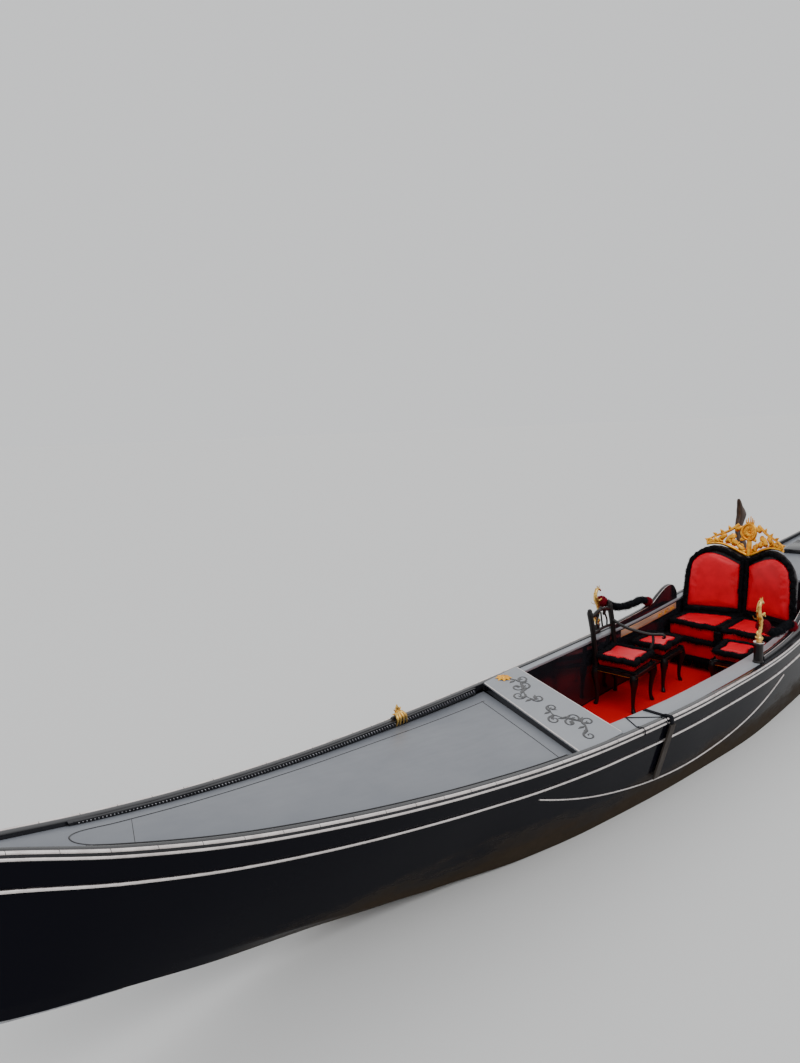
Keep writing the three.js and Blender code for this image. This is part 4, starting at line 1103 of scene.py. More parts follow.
@dataclass
class Fringe:
    """Cut wool fringe: a soft core with loose strands all round it."""

    radius: float = 0.030
    core: float = 0.60
    per_metre: int = 2100
    width: float = 0.0019
    droop: float = 0.30
    sway: float = 0.004
    spacing: float = 0.02

    def hair(self, name: str, middles: np.ndarray, aims: np.ndarray, draw: np.random.Generator,
             reaches: Flat, widths: Flat) -> Piece:
        """Strands that stand out from the core.

        Args:
            name: the piece's name.
            middles: the core's middle under each strand.
            aims: the direction of each strand.
            draw: what their sizes are drawn from.
            reaches: the shortest and the longest strand, as shares of the usual one.
            widths: the same for their widths.

        Returns:
            The strands as one object.
        """
        roots = middles + aims * self.radius * self.core * 0.8
        reach = self.radius * (1 - 0.8 * self.core) * draw.uniform(*reaches, (len(aims), 1))
        wide = self.width * draw.uniform(*widths, len(aims))
        return scattered(name + "_strands", strand(), roots, aims * reach, wide, self.droop)

    def build(self, name: str, path: Sequence[Point], seed: int) -> Piece:
        """Lays the fringe along a path.

        Args:
            name: the new object's name.
            path: the middle of the fringe.
            seed: the number that its strands are drawn from.

        Returns:
            The new object, core and strands in one.
        """
        draw = np.random.default_rng(seed)
        line = resampled(path, self.spacing)
        line[1:-1] += draw.normal(scale=self.sway, size=(len(line) - 2, 3))
        core = tube(name + "_core", line, self.radius * self.core, 8)
        count = int(self.per_metre * length_of(line))
        middles, ahead = strewn(line, count, draw)
        aims = draw.normal(size=(count, 3))
        aims -= ahead * np.sum(aims * ahead, axis=1, keepdims=True) * 0.75
        aims /= np.linalg.norm(aims, axis=1, keepdims=True)
        return joined(name, [core, self.hair(name, middles, aims, draw, (0.55, 1.15), (0.7, 1.3))])

    def lay(self, name: str, path: Sequence[Point], seed: int) -> None:
        """Lays a fringe of black wool along a path and dresses it."""
        dressed(self.build(name, path, seed), Finishes.FRINGE)


@dataclass
class Skirt:
    """A hanging fringe: close rows of straight strands under a cord."""

    drop: float
    cord: float = 0.006
    per_metre: int = 1100
    width: float = 0.0028
    spacing: float = 0.02

    def build(self, name: str, path: Sequence[Point], seed: int) -> Piece:
        """Hangs the fringe from a path.

        Args:
            name: the new object's name.
            path: the cord that it hangs from.
            seed: the number that its strands are drawn from.

        Returns:
            The new object, cord and strands in one.
        """
        line = resampled(path, self.spacing)
        cord = tube(name + "_cord", line, self.cord, 8)
        draw = np.random.default_rng(seed)
        count = int(self.per_metre * length_of(line))
        roots = strewn(line, count, draw)[0] + draw.normal(scale=0.0022, size=(count, 3))
        lean = draw.normal(scale=0.05, size=(count, 3))
        lean[:, 2] = -1.0
        aims = lean * (self.drop * draw.uniform(0.88, 1.0, (count, 1)))
        hair = scattered(name + "_strands", strand(), roots, aims, np.full(count, self.width))
        return joined(name, [cord, hair])


@dataclass
class Tuft(Fringe):
    """A ball of cut wool."""

    count: int = 1500

    def ball(self, name: str, middle: Vector, seed: int) -> Piece:
        """Makes the ball.

        Args:
            name: the new object's name.
            middle: its middle.
            seed: the number that its strands are drawn from.

        Returns:
            The new object.
        """
        bpy.ops.mesh.primitive_ico_sphere_add(subdivisions=2, radius=self.radius * self.core, location=middle)
        heart = settled()
        draw = np.random.default_rng(seed)
        aims = draw.normal(size=(self.count, 3))
        aims /= np.linalg.norm(aims, axis=1, keepdims=True)
        return joined(name, [heart, self.hair(name, np.array(middle), aims, draw, (0.75, 1.02), (0.8, 1.3))])


# Cushions.


@dataclass
class Cushion:
    """A stuffed pad over a flat outline, swollen by a cloth simulation.

    The outline lies in the pad's own plane, and the pad rises from it along its third axis.
    """

    outline: Sequence[Flat]
    height: float
    round: float = 0.026
    voxel: float = 0.011
    swell: float = 0.014
    pull: float = 0.010
    pressure: float = 4.0
    frames: int = 20

    def build(self, name: str) -> Piece:
        """Makes the pad in its own axes.

        Args:
            name: the new object's name.

        Returns:
            The new object, its underside at zero.
        """
        obj = self.block(name)
        activate(obj)
        skin = obj.modifiers.new("skin", "REMESH")
        skin.mode = "VOXEL"
        skin.voxel_size = self.voxel
        bpy.ops.object.modifier_apply(modifier=skin.name)
        self.crown(obj)
        self.stuff(obj)
        activate(obj)
        fine = obj.modifiers.new("fine", "SUBSURF")
        fine.levels = 1
        fine.render_levels = 1
        bpy.ops.object.modifier_apply(modifier=fine.name)
        bpy.ops.object.shade_smooth()
        return obj

    def block(self, name: str) -> Piece:
        """The pad before it is stuffed: the outline drawn in, raised and rounded.

        Args:
            name: the new object's name.

        Returns:
            The new object.
        """
        count = len(self.outline)
        bpy.ops.mesh.primitive_circle_add(vertices=count, radius=1.0, fill_type="NGON")
        obj = named(bpy.context.object, name)
        middle = Vector((*(sum(axis) / count for axis in zip(*self.outline)), 0.0))
        for vertex, (x, y) in zip(obj.data.vertices, self.outline):
            corner = Vector((x, y, 0.0))
            vertex.co = corner + (middle - corner).normalized() * self.swell
        open_mesh(obj)
        face_out()
        rise = (0.0, 0.0, self.height - self.swell)
        bpy.ops.mesh.extrude_region_move(TRANSFORM_OT_translate={"value": rise})
        face_out()
        bpy.ops.mesh.bevel(offset=self.round, segments=3, affect="EDGES")
        close_mesh()
        return obj

    def crown(self, obj: Piece) -> None:
        """Raises the middle of the top and draws the sides in between the corners.

        Args:
            obj: the pad.
        """
        edge = np.array(self.outline)
        middle = edge.mean(axis=0)
        reach = np.abs(edge - middle).max(axis=0)
        points = points_of(obj)
        u, v = ((points[:, :2] - middle) / reach).T
        near_u, near_v = np.clip(u * u, 0, 1), np.clip(v * v, 0, 1)
        rise = np.clip(points[:, 2] / self.height, 0.0, 1.0)
        points[:, 2] += self.swell * rise * (1 - near_u) * (1 - near_v)
        points[:, 0] -= self.pull * np.sign(u) * near_u * (1 - near_v)
        points[:, 1] -= self.pull * np.sign(v) * near_v * (1 - near_u)
        move_points(obj, points)

    def stuff(self, obj: Piece) -> None:
        """Swells the pad under pressure, no point moving further than the swell allows.

        Args:
            obj: the pad.
        """
        before = points_of(obj)
        activate(obj)
        cloth = obj.modifiers.new("stuffing", "CLOTH")
        cloth.settings.quality = 4
        cloth.settings.use_pressure = True
        cloth.settings.uniform_pressure_force = self.pressure
        cloth.settings.effector_weights.gravity = 0.0
        for frame in range(1, self.frames + 1):
            bpy.context.scene.frame_set(frame)
        bpy.ops.object.modifier_apply(modifier=cloth.name)
        bpy.context.scene.frame_set(1)
        moves = points_of(obj) - before
        sizes = np.linalg.norm(moves, axis=1, keepdims=True)
        moves *= np.minimum(1.0, self.swell / np.maximum(sizes, 1e-9))
        points = before + moves
        points[:, 2] = np.maximum(points[:, 2], 0.0)
        move_points(obj, points)


def placed(obj: Piece, origin: Point, first: Point, second: Point, third: Point) -> Piece:
    """Moves a piece from its own axes into the boat's.

    Args:
        obj: the piece.
        origin: where its origin goes.
        first: the boat's direction of its first axis.
        second: that of its second axis.
        third: that of its third axis.

    Returns:
        The same piece.
    """
    turn = Matrix((Vector(first), Vector(second), Vector(third))).transposed().to_4x4()
    obj.matrix_world = Matrix.Translation(Vector(origin)) @ turn
    activate(obj)
    return settled()


# The camera, the floor and the light.


@dataclass(frozen=True)
class Viewpoint:
    """Where the photograph was taken from."""

    place: Point = (5.233, 2.533, 2.449)
    yaw: float = 42.04
    pitch: float = 8.99
    roll: float = 2.42
    focal: float = 688.4
    long_side: float = 1063.0
    sensor: float = 36.0

    def build(self) -> None:
        """Adds the camera and makes it the scene's."""
        yaw, pitch, roll = (math.radians(angle) for angle in (self.yaw, self.pitch, self.roll))
        level = Vector((-math.sin(yaw), -math.cos(yaw), 0.0))
        right = Vector((-math.cos(yaw), math.sin(yaw), 0.0))
        forward = math.cos(pitch) * level - math.sin(pitch) * UP
        over = math.sin(pitch) * level + math.cos(pitch) * UP
        across = math.cos(roll) * right - math.sin(roll) * over
        up = math.sin(roll) * right + math.cos(roll) * over
        data = bpy.data.cameras.new("photo_view")
        data.sensor_width = self.sensor
        data.lens = self.sensor * self.focal / self.long_side
        data.clip_start = 0.05
        data.clip_end = 200.0
        camera = bpy.data.objects.new("photo_view", data)
        bpy.context.scene.collection.objects.link(camera)
        turn = Matrix((across, up, -forward)).transposed().to_4x4()
        camera.matrix_world = Matrix.Translation(Vector(self.place)) @ turn
        bpy.context.scene.camera = camera


@dataclass(frozen=True)
class Studio:
    """A pale floor at the waterline under soft light."""

    reach: float = 600.0
    near: float = 12.0
    world: float = 1.0
    cover: float = 0.010
    draught: float = 0.006

    def opening(self) -> list[Flat]:
        """The outline of the hull at the waterline, drawn a little way into its planking.

        Returns:
            Points in plan, from the stern forwards at port and back at starboard.
        """
        afloat = [x for x in places(-3.2, 3.6, 0.04) if LINES.bottom(x) < WATERLINE - self.draught]
        sides = []
        for side in Side:
            line = []
            for x in afloat:
                foot = LINES.foot(side, x)
                share = min((WATERLINE - LINES.bottom(x)) / LINES.turn_height, 1.0)
                line.append((x, side.value * (foot + (LINES.turn(side, x) - foot) * share - self.cover)))
            sides.append(line)
        port, star = sides
        return [*port, *reversed(star)]

    def build(self) -> None:
        """Adds the floor, open where the hull floats in it, the world and the lights."""
        edge = [Vector((x, y, 0.0)) for x, y in self.opening()]
        rings = [edge, *([point.normalized() * reach for point in edge] for reach in (self.near, self.reach))]
        rows = [[(point.x, point.y, WATERLINE) for point in ring] for ring in rings]
        floor = net("floor", rows, capped=False)
        if floor.data.polygons[0].normal.z < 0:
            floor.data.flip_normals()
        sheet = Sheet("pale_floor")
        sheet.feed("Base Color", (0.72, 0.72, 0.715))
        sheet.feed("Roughness", 0.9)
        floor.data.materials.append(sheet.material)
        world = bpy.data.worlds.new("soft_sky")
        bpy.context.scene.world = world
        world.use_nodes = True
        sky = world.node_tree.nodes["Background"]
        sky.inputs[0].default_value = (0.86, 0.87, 0.88, 1.0)
        sky.inputs[1].default_value = self.world
        self.lamp("key", (4.0, 6.0, 11.0), 50.0, 1.0)
        self.lamp("back", (-8.0, -6.0, 9.0), 60.0, 0.3)

    def lamp(self, name: str, place: Point, spread: float, power: float) -> None:
        """Adds one broad far light that looks at the middle of the boat.

        Args:
            name: the light's name.
            place: the direction that it comes from.
            spread: the width of its face, in degrees.
            power: its strength.
        """
        data = bpy.data.lights.new(name, "SUN")
        data.angle = math.radians(spread)
        data.energy = power
        lamp = bpy.data.objects.new(name, data)
        bpy.context.scene.collection.objects.link(lamp)
        lamp.location = place
        lamp.rotation_euler = (-Vector(place)).to_track_quat("-Z", "Y").to_euler()


# The hull.


def ring_section(y: float, z: float, wide: float, tall: float, sides: int = 12) -> list[Flat]:
    """An oval section.

    Args:
        y: its middle's half breadth.
        z: its middle's height.
        wide: half its width.
        tall: half its height.
        sides: the number of points.

    Returns:
        Its points.
    """
    return [(y + wide * math.cos(a), z + tall * math.sin(a)) for a in round_turn(sides)]


def bead_section(side: Side, x: float, middle: float, half: float, proud: float) -> list[Flat]:
    """A half-round section on the outside of the planking.

    Args:
        side: the side of the boat.
        x: the place along it.
        middle: the bead's height.
        half: half its height.
        proud: how far it stands out.

    Returns:
        Half breadths and heights.
    """
    points = []
    for k in range(9):
        angle = math.pi * (k / 8 - 0.5)
        z = middle + half * math.sin(angle)
        points.append((LINES.outer(side, x, z) + proud * math.cos(angle) - 0.0002, z))
    back = LINES.outer(side, x, middle) - 0.003
    return [*points, (back, middle + half * 0.9), (back, middle - half * 0.9)]


@dataclass
class Hull:
    """Planking, rails, strakes, the flat bottom, and the heads and irons of both ends."""

    lengths: Sequence[str] = ("stern", "aft", "fore", "bow")
    step: float = 0.06
    head_fore: float = 4.9
    head_aft: float = -4.98
    bow: float = 5.12
    stern: float = -5.2
    # For each bead: how far in from the rail's edge and down from its top, and half its width and height.
    upper: Sequence[float] = (0.0085, 0.0055, 0.0078, 0.0066)
    lower: Sequence[float] = (0.005, 0.0285, 0.0055, 0.0065)
    joint: Sequence[float] = (0.0085, 0.0055, 0.0081, 0.0069)
    joint_half: float = 0.0009
    joint_spacing: float = 0.149
    last_joint: float = 4.839
    rub_drop: float = 0.150
    rub_reach: float = 5.0
    low_middle: float = 1.15
    low_half: float = 1.4
    low_ends: float = 0.21
    low_sag: float = 0.252
    # For each strake: half the height of its bead, and how far it stands out.
    rub_size: Flat = (0.009, 0.0115)
    low_size: Flat = (0.006, 0.0075)

    def build(self, frame: dict) -> None:
        """Builds every piece of the hull.
        """
        for side in Side:
            self.planking(side)
            self.rail(side)
            self.strakes(side)
        for node, finish, width in (
            ("hull_bottom", Finishes.BOTTOM, 0.002),
            ("stem_head", Finishes.LACQUER, 0.004),
            ("stern_head", Finishes.LACQUER, 0.004),
            ("bow_iron", Finishes.IRON, 0.003),
            ("stern_iron", Finishes.IRON, 0.003),
        ):
            reworked(frame, node, finish, width)

    def planking(self, side: Side) -> None:
        """One side's planking, smooth from end to end.

        Args:
            side: the side of the boat.
        """
        rows = []
        for x in places(self.stern, self.bow, self.step):
            turn, foot = LINES.turn(side, x), LINES.foot(side, x)
            low, bend = LINES.bottom(x), LINES.bottom(x) + LINES.turn_height
            high = LINES.sheer(x) - LINES.rail_depth - 0.0003
            top = LINES.rail(side, x) - LINES.setback
            plank = [min(LINES.plank, 0.8 * half) for half in (turn, top)]
            inner = foot - min(LINES.bilge, 0.8 * foot)
            rows.append(side.section(x, [
                (foot, low), (foot + 0.9 * (turn - foot), low + 0.9 * (bend - low)),
                *((turn + (top - turn) * t, bend + (high - bend) * t)
                  for t in (0.0, 0.02, 0.25, 0.5, 0.75, 0.99, 1.0)),
                (top - plank[1], high), (turn - plank[0], bend), (inner, low + 0.0243), (inner, low),
            ]))
        piece = smooth(net(f"planking_{side.word}", rows), 25)
        dressed(piece, Finishes.SIDES, [f"side_planking_{side.word}_{length}" for length in self.lengths])

    def sweep(self, name: str, side: Side, start: float, end: float,
              section: Callable[[float], list[Flat]]) -> Piece:
        """A body with the same kind of section all along one side."""
        return net(name, [side.section(x, section(x)) for x in places(start, end, self.step)])

    def board(self, side: Side, x: float) -> list[Flat]:
        """The section of the rail's board.

        Args:
            side: the side of the boat.
            x: the place along it.

        Returns:
            Half breadths and heights.
        """
        edge, inner, top = LINES.rail(side, x), LINES.rail_inner(side, x), LINES.sheer(x)
        return [
            (edge - 0.008, top - 0.040), (edge - 0.003, top - 0.037), (edge - 0.003, top - 0.014),
            (edge - 0.006, top - 0.004), (edge - 0.014, top - 0.0015), (inner + 0.005, top),
            (inner + 0.001, top - 0.002), (inner, top - 0.006), (inner, top - 0.040),
        ]

    def bead(self, side: Side, x: float, shape: Sequence[float]) -> list[Flat]:
        """The oval section of a bead of the rail."""
        back, drop, wide, tall = shape
        return ring_section(LINES.rail(side, x) - back, LINES.sheer(x) - drop, wide, tall)

    def rail(self, side: Side) -> None:
        """The rail: a black board with two beads painted pale for the sky's highlight on them, the upper one
        jointed.

        Args:
            side: the side of the boat.
        """
        ends = self.head_aft, self.head_fore
        piece = smooth(self.sweep(f"rail_board_{side.word}", side, *ends, lambda x: self.board(side, x)))
        dressed(piece, Finishes.LACQUER, [f"gunwale_rail_{side.word}"])
        for name, shape in (("upper", self.upper), ("lower", self.lower)):
            name = f"rail_bead_{name}_{side.word}"
            bead = self.sweep(name, side, *ends, lambda x: self.bead(side, x, shape))
            dressed(smooth(bead, 60), Finishes.STRAKE)
        joints = [
            net("joint", [side.section(x + d, self.bead(side, x + d, self.joint))
                          for d in (-self.joint_half, self.joint_half)])
            for x in places(-self.last_joint, self.last_joint, self.joint_spacing)
        ]
        finished(f"rail_joints_{side.word}", joints, Finishes.LACQUER, angle=35)

    def low_strake(self, side: Side, x: float) -> list[Flat]:
        """The section of the lower strake, which sags between its ends.

        Args:
            side: the side of the boat.
            x: the place along it.

        Returns:
            Half breadths and heights.
        """
        t = (x - self.low_middle) / self.low_half
        middle = LINES.sheer(x) - self.low_ends - self.low_sag * (1 - t * t)
        return bead_section(side, x, middle, *self.low_size)

    def strakes(self, side: Side) -> None:
        """The rub strake and the lower strake, both painted pale for the sky's highlight on them.

        Args:
            side: the side of the boat.
        """
        rub = self.sweep(f"rub_bead_{side.word}", side, -self.rub_reach, self.rub_reach,
                         lambda x: bead_section(side, x, LINES.sheer(x) - self.rub_drop, *self.rub_size))
        dressed(smooth(rub, 60), Finishes.STRAKE, [f"rub_strake_{side.word}"])
        ends = self.low_middle - self.low_half, self.low_middle + self.low_half
        low = self.sweep(f"low_bead_{side.word}", side, *ends, lambda x: self.low_strake(side, x))
        dressed(smooth(low, 60), Finishes.STRAKE, [f"lower_strake_{side.word}"])


@dataclass
class Carpentry:
    """Decks, bulkheads and boards that keep the frame's own shapes, each with its finish and rounding."""

    pieces: Sequence[tuple[str, Finishes, float]] = (
        ("stern_deck", Finishes.DECK, 0.001),
        ("bow_bulkhead", Finishes.LACQUER, 0.002),
        ("stern_bulkhead", Finishes.LACQUER, 0.002),
        ("side_deck_port", Finishes.PALE_DECK, 0.003),
        ("side_deck_starboard", Finishes.PALE_DECK, 0.003),
        ("coaming_port", Finishes.LACQUER, 0.002),
        ("coaming_starboard", Finishes.LACQUER, 0.002),
        ("floorboards", Finishes.FLOOR, 0.001),
        ("rower_footboard", Finishes.LACQUER, 0.006),
        ("rowlock_block", Finishes.WALNUT, 0.006),
    )

    def build(self, frame: dict) -> None:
        """Rounds, smooths and dresses a copy of each node."""
        for node, finish, width in self.pieces:
            reworked(frame, node, finish, width)


# The sofa.


@dataclass
class Sofa:
    """The sofa: a boxed base, two seats and a back in a shallow V, all edged with fringe."""

    middle: float = 0.050
    half: float = 0.483
    front: float = -0.730
    overhang: float = 0.015
    base_low: float = 0.205
    seat_low: float = 0.3923
    seat_high: float = 0.542
    face: float = -1.265
    sweep: float = 0.39
    lean: float = 0.06
    face_height: float = 0.595
    panel: Sequence[Flat] = (
        (0.014, 0.572), (0.478, 0.572), (0.468, 0.960), (0.412, 1.090), (0.305, 1.150), (0.200, 1.134),
        (0.110, 1.090), (0.014, 1.030),
    )
    edge: Sequence[Flat] = (
        (0.472, 0.600), (0.470, 0.780), (0.458, 0.940), (0.438, 1.025), (0.398, 1.092), (0.345, 1.136),
        (0.262, 1.158), (0.190, 1.148), (0.120, 1.112), (0.060, 1.076), (0.0, 1.062),
    )

    def back_x(self, across: float, z: float) -> float:
        """Position along the boat of the face of the back."""
        return self.face + self.sweep * abs(across) - self.lean * (z - self.face_height)

    def on_back(self, across: float, z: float, proud: float = 0.0) -> Vector:
        """A point on the face of the back, or in front of it."""
        return Vector((self.back_x(across, z) + proud, self.middle + across, z))

    def build(self, frame: dict) -> None:
        """Builds the sofa.
        """
        self.base(frame)
        for side in Side:
            self.seat(side)
            self.wing(side)
        reworked(frame, "sofa_back", Finishes.BACKING, 0.010, "sofa_back_shell", 3, 50)
        self.edging()

    def base(self, frame: dict) -> None:
        """The base: satin panels over a black plinth, with a hanging fringe over its feet.
        """
        reworked(frame, "sofa_base", Finishes.SATIN, 0.004, "sofa_base_panels")
        line = self.front_line(self.base_low + 0.034, 0.004)
        dressed(Skirt(0.112).build("sofa_skirt", line, 11), Finishes.FRINGE)
        plinth = []
        for a, b in zip(line, line[1:]):
            bpy.ops.mesh.primitive_cube_add(size=1.0)
            along = b - a
            across = along.cross(UP).normalized()
            place = Matrix.Translation((a + b) / 2 + Vector((0, 0, -0.018)))
            turn = Matrix((along * 1.001, across * 0.004, Vector((0, 0, 0.022)))).transposed().to_4x4()
            bpy.context.object.matrix_world = place @ turn
            plinth.append(bevelled(settled(), 0.001))
        finished("sofa_plinth", plinth, Finishes.EBONY, angle=35)

    def front_line(self, z: float, proud: float) -> list[Vector]:
        """The line round the two sides and the front of the base.

        Args:
            z: its height.
            proud: how far it stands out from the base.

        Returns:
            Its four corners.
        """
        out = self.half + proud
        rear = self.back_x(self.half, self.face_height)
        front = self.front + proud
        return [
            Vector((x, self.middle + across, z))
            for x, across in ((rear, -out), (front, -out), (front, out), (rear, out))
        ]

    def seat(self, side: Side) -> None:
        """One seat cushion, with fringe round its top and along its lower edge.

        Args:
            side: the side of the sofa.
        """
        sign, word = side.value, side.word
        inner, outer = 0.004, self.half - 0.006
        front = self.front + self.overhang
        rear = [self.back_x(across, self.seat_low) + 0.004 for across in (outer, inner)]

        def points(plan: Iterable[Flat], z: float) -> list[Vector]:
            """Points at one height, from places along the boat and out from the sofa's middle."""
            return [Vector((x, self.middle + sign * across, z)) for x, across in plan]

        corners = ((front, inner), (front, outer), (rear[0], outer), (rear[1], inner))
        outline = [(x, self.middle + sign * across) for x, across in corners]
        pad = Cushion(outline, self.seat_high - self.seat_low).build(f"sofa_cushion_{word}")
        placed(pad, (0, 0, self.seat_low), (1, 0, 0), (0, 1, 0), (0, 0, 1))
        dressed(pad, Finishes.SATIN, [f"sofa_seat_{word}"])
        inset, near, edge = 0.034, inner + 0.018, outer - 0.006
        top, low = self.seat_high - 0.014, self.seat_low - 0.004
        ring = [(front - inset, near), (front - inset, outer - inset), (rear[0] + 0.05, outer - inset),
                (rear[1] + 0.07, near)]
        thick = Fringe(radius=0.042)
        thick.lay(f"sofa_seat_fringe_{word}", points([*ring, ring[0]], top), 20 + sign)
        foot = points([(front - 0.012, 0.002), (front - 0.012, edge), (rear[0] + 0.03, edge)], low)
        thick.lay(f"sofa_lower_fringe_{word}", foot, 30 + sign)
        divider = [*points([(front + 0.001, 0.012)], top - 0.02), *points([(front + 0.001, 0.012)], low)]
        Fringe(radius=0.030).lay(f"sofa_front_divider_{word}", divider, 40 + sign)

    def wing(self, side: Side) -> None:
        """One padded panel of the back.

        Args:
            side: the side of the sofa.
        """
        sign = side.value
        shape = [self.panel[0], *flat_path(self.panel[1:], 3)]
        outline = [(across, z - self.face_height) for across, z in shape]
        pad = Cushion(outline, 0.046, round=0.016, voxel=0.010, swell=0.016, pull=0.0)
        piece = pad.build(f"sofa_back_pad_{side.word}")
        third = Vector((1.0, -self.sweep * sign, self.lean)).normalized()
        placed(piece, self.on_back(0.0, self.face_height, -0.010), (self.sweep, sign, 0.0),
               (-self.lean, 0.0, 1.0), third)
        dressed(faced_out(piece), Finishes.SATIN)

    def edging(self) -> None:
        """Fringe round the panels of the back."""
        for side in Side:
            sign = side.value
            rim = smooth_path([self.on_back(sign * across, z, -0.004) for across, z in self.edge], 4)
            Fringe(radius=0.036).lay(f"sofa_back_fringe_{side.word}", rim, 50 + sign)
            foot = [self.on_back(sign * across, 0.578, 0.010) for across in (0.03, 0.25, 0.465)]
            Fringe(radius=0.024).lay(f"sofa_foot_fringe_{side.word}", foot, 60 + sign)
        for i, across in enumerate((-0.022, 0.022)):
            spine = [self.on_back(across, z, 0.022) for z in (0.575, 0.75, 0.95, 1.066)]
            Fringe(radius=0.032).lay(f"sofa_spine_fringe_{i + 1}", spine, 70 + i)


# The gilt crest.


@dataclass
class Crest:
    """Gilt carving along the top of the back: scrolls and leaves, a medallion and a small crown."""

    sofa: Sofa
    back: float = 0.045
    weight: float = 1.35
    leafy: float = 1.5
    centre: float = 1.318
    crown_foot: float = 1.398
    ground: Sequence[Flat] = (
        (0.012, 1.098), (0.08, 1.136), (0.15, 1.176), (0.22, 1.202), (0.29, 1.203), (0.336, 1.192),
    )
    ridge: Sequence[Flat] = (
        (0.085, 1.384), (0.125, 1.352), (0.17, 1.318), (0.225, 1.292), (0.275, 1.268), (0.318, 1.240),
    )
    # Each scroll's middle, first radius, first direction and turns.
    scrolls: Sequence[tuple[Flat, float, float, float]] = (
        ((0.306, 1.226), 0.026, -60, 1.4), ((0.130, 1.232), 0.034, 120, -1.5),
        ((0.212, 1.250), 0.028, -110, 1.4), ((0.062, 1.190), 0.030, 70, -1.3),
        ((0.264, 1.225), 0.016, 100, -1.1),
    )
    # Each leaf's root, direction and length.
    leaves: Sequence[tuple[float, float, float, float]] = (
        (0.100, 1.180, 70, 0.062), (0.165, 1.200, 95, 0.060), (0.185, 1.300, -60, 0.055),
        (0.240, 1.208, 60, 0.050), (0.120, 1.330, 150, 0.056), (0.300, 1.204, 80, 0.036),
        (0.105, 1.290, -35, 0.060), (0.040, 1.130, 60, 0.060), (0.255, 1.280, 35, 0.030),
        (0.205, 1.300, 55, 0.032), (0.150, 1.335, 65, 0.030), (0.318, 1.232, 20, 0.026),
        (0.075, 1.250, 190, 0.034), (0.020, 1.120, 30, 0.050),
    )

    def at(self, across: float, z: float, proud: float = 0.0) -> Vector:
        """A point in the middle of the carving's thickness."""
        return self.sofa.on_back(across, z, proud - self.back)

    def rod(self, points: Sequence[Flat], thick: float, thin: float, proud: float = 0.0) -> Piece:
        """A carved rod that thins out from its first point to its last.

        Args:
            points: its places across the sofa and heights.
            thick: its radius at the first.
            thin: its radius at the last.
            proud: how far it stands forward.

        Returns:
            The new object.
        """
        count = len(points) - 1
        radii = [self.weight * (thick + (thin - thick) * (k / count) ** 1.2) for k in range(count + 1)]
        return tube("rod", [self.at(across, z, proud) for across, z in points], radii, 8)

    def leaf(self, across: float, z: float, angle: float, length: float, proud: float = 0.003) -> Piece:
        """A pointed leaf with a raised middle, made from a stretched and pinched ball.

        Args:
            across: its root's place across the sofa.
            z: its root's height.
            angle: its direction, in degrees.
            length: its length.
            proud: how far it stands forward.

        Returns:
            The new object.
        """
        bpy.ops.mesh.primitive_uv_sphere_add(segments=10, ring_count=8, radius=0.5)
        obj = bpy.context.object
        c, s = math.cos(math.radians(angle)), math.sin(math.radians(angle))
        for vertex in obj.data.vertices:
            x, y, depth = vertex.co
            narrow = (0.5 - x) * 0.9 + 0.12
            u = (x + 0.5) * length
            v = y * length * 0.62 * narrow * 1.5
            w = depth * length * 0.32 + 0.0016 * math.cos(6 * math.pi * y)
            vertex.co = self.at(across + u * c - v * s, z + u * s + v * c) + Vector((w + proud, 0.0, 0.0))
        return obj

    def knob(self, across: float, z: float, radius: float, proud: float = 0.0) -> Piece:
        """A small flattened ball."""
        return ball(10, 6, radius, self.at(across, z, proud), (0.7, 1.0, 1.0))

    def build(self) -> None:
        """Carves the crest."""
        parts = [self.rod([(0.0, 1.098), (0.0, 1.19), (0.0, 1.27)], 0.020, 0.016)]
        for sign in (-1, 1):
            parts += self.half(sign)
        parts += self.medallion()
        parts += self.crown()
        piece = faced_out(joined("crest_carving", parts))
        dressed(smooth(piece, 50), Finishes.GILT, ["sofa_crest"])

    def half(self, sign: int) -> list[Piece]:
        """The scrolls and leaves of one side.

        Args:
            sign: the side, 1 for port and -1 for starboard.

        Returns:
            The parts.
        """
        parts = []
        for points, thick, thin in ((self.ground, 0.013, 0.008), (self.ridge, 0.011, 0.006)):
            parts.append(self.rod([(sign * u, z) for u, z in flat_path(points, 5)], thick, thin))
        for middle, start, angle, turns in self.scrolls:
            curl = [(sign * u, z) for u, z in spiral(middle, start, 0.004, angle, turns)]
            parts.append(self.rod(curl, 0.0085, 0.0035, 0.004))
        for u, z, angle, length in self.leaves:
            turned = angle if sign > 0 else 180 - angle
            parts.append(self.leaf(sign * u, z, turned, length * self.leafy))
        return parts

    def medallion(self) -> list[Piece]:
        """The oval medallion: a beaded ring round a domed rosette.

        Returns:
            The parts.
        """
        middle = self.centre

        def oval(wide: float, tall: float, angles: Iterable[float]) -> list[Flat]:
            """Points of an oval round the middle."""
            return [(wide * math.cos(a), middle + tall * math.sin(a)) for a in angles]

        parts = [self.rod(oval(0.064, 0.074, [*round_turn(40), 2 * math.pi]), 0.0085, 0.0085, 0.006)]
        plate = oval(0.060, 0.070, round_turn(32))
        parts.append(net("plate", [
            [self.at(u * share, middle + (z - middle) * share, depth) for u, z in plate]
            for share, depth in (
                (1.0, -0.008), (1.0, 0.001), (0.85, 0.005), (0.55, 0.008), (0.2, 0.0095), (0.02, 0.0097),
            )
        ]))
        for k, (u, z) in enumerate(oval(0.010, 0.012, round_turn(10))):
            parts.append(self.leaf(u, z, 36.0 * k, 0.040, 0.010))
        parts.append(self.knob(0.0, middle, 0.011, 0.014))
        parts += [self.knob(u, z, 0.0035, 0.009) for u, z in oval(0.053, 0.062, round_turn(24))]
        return parts

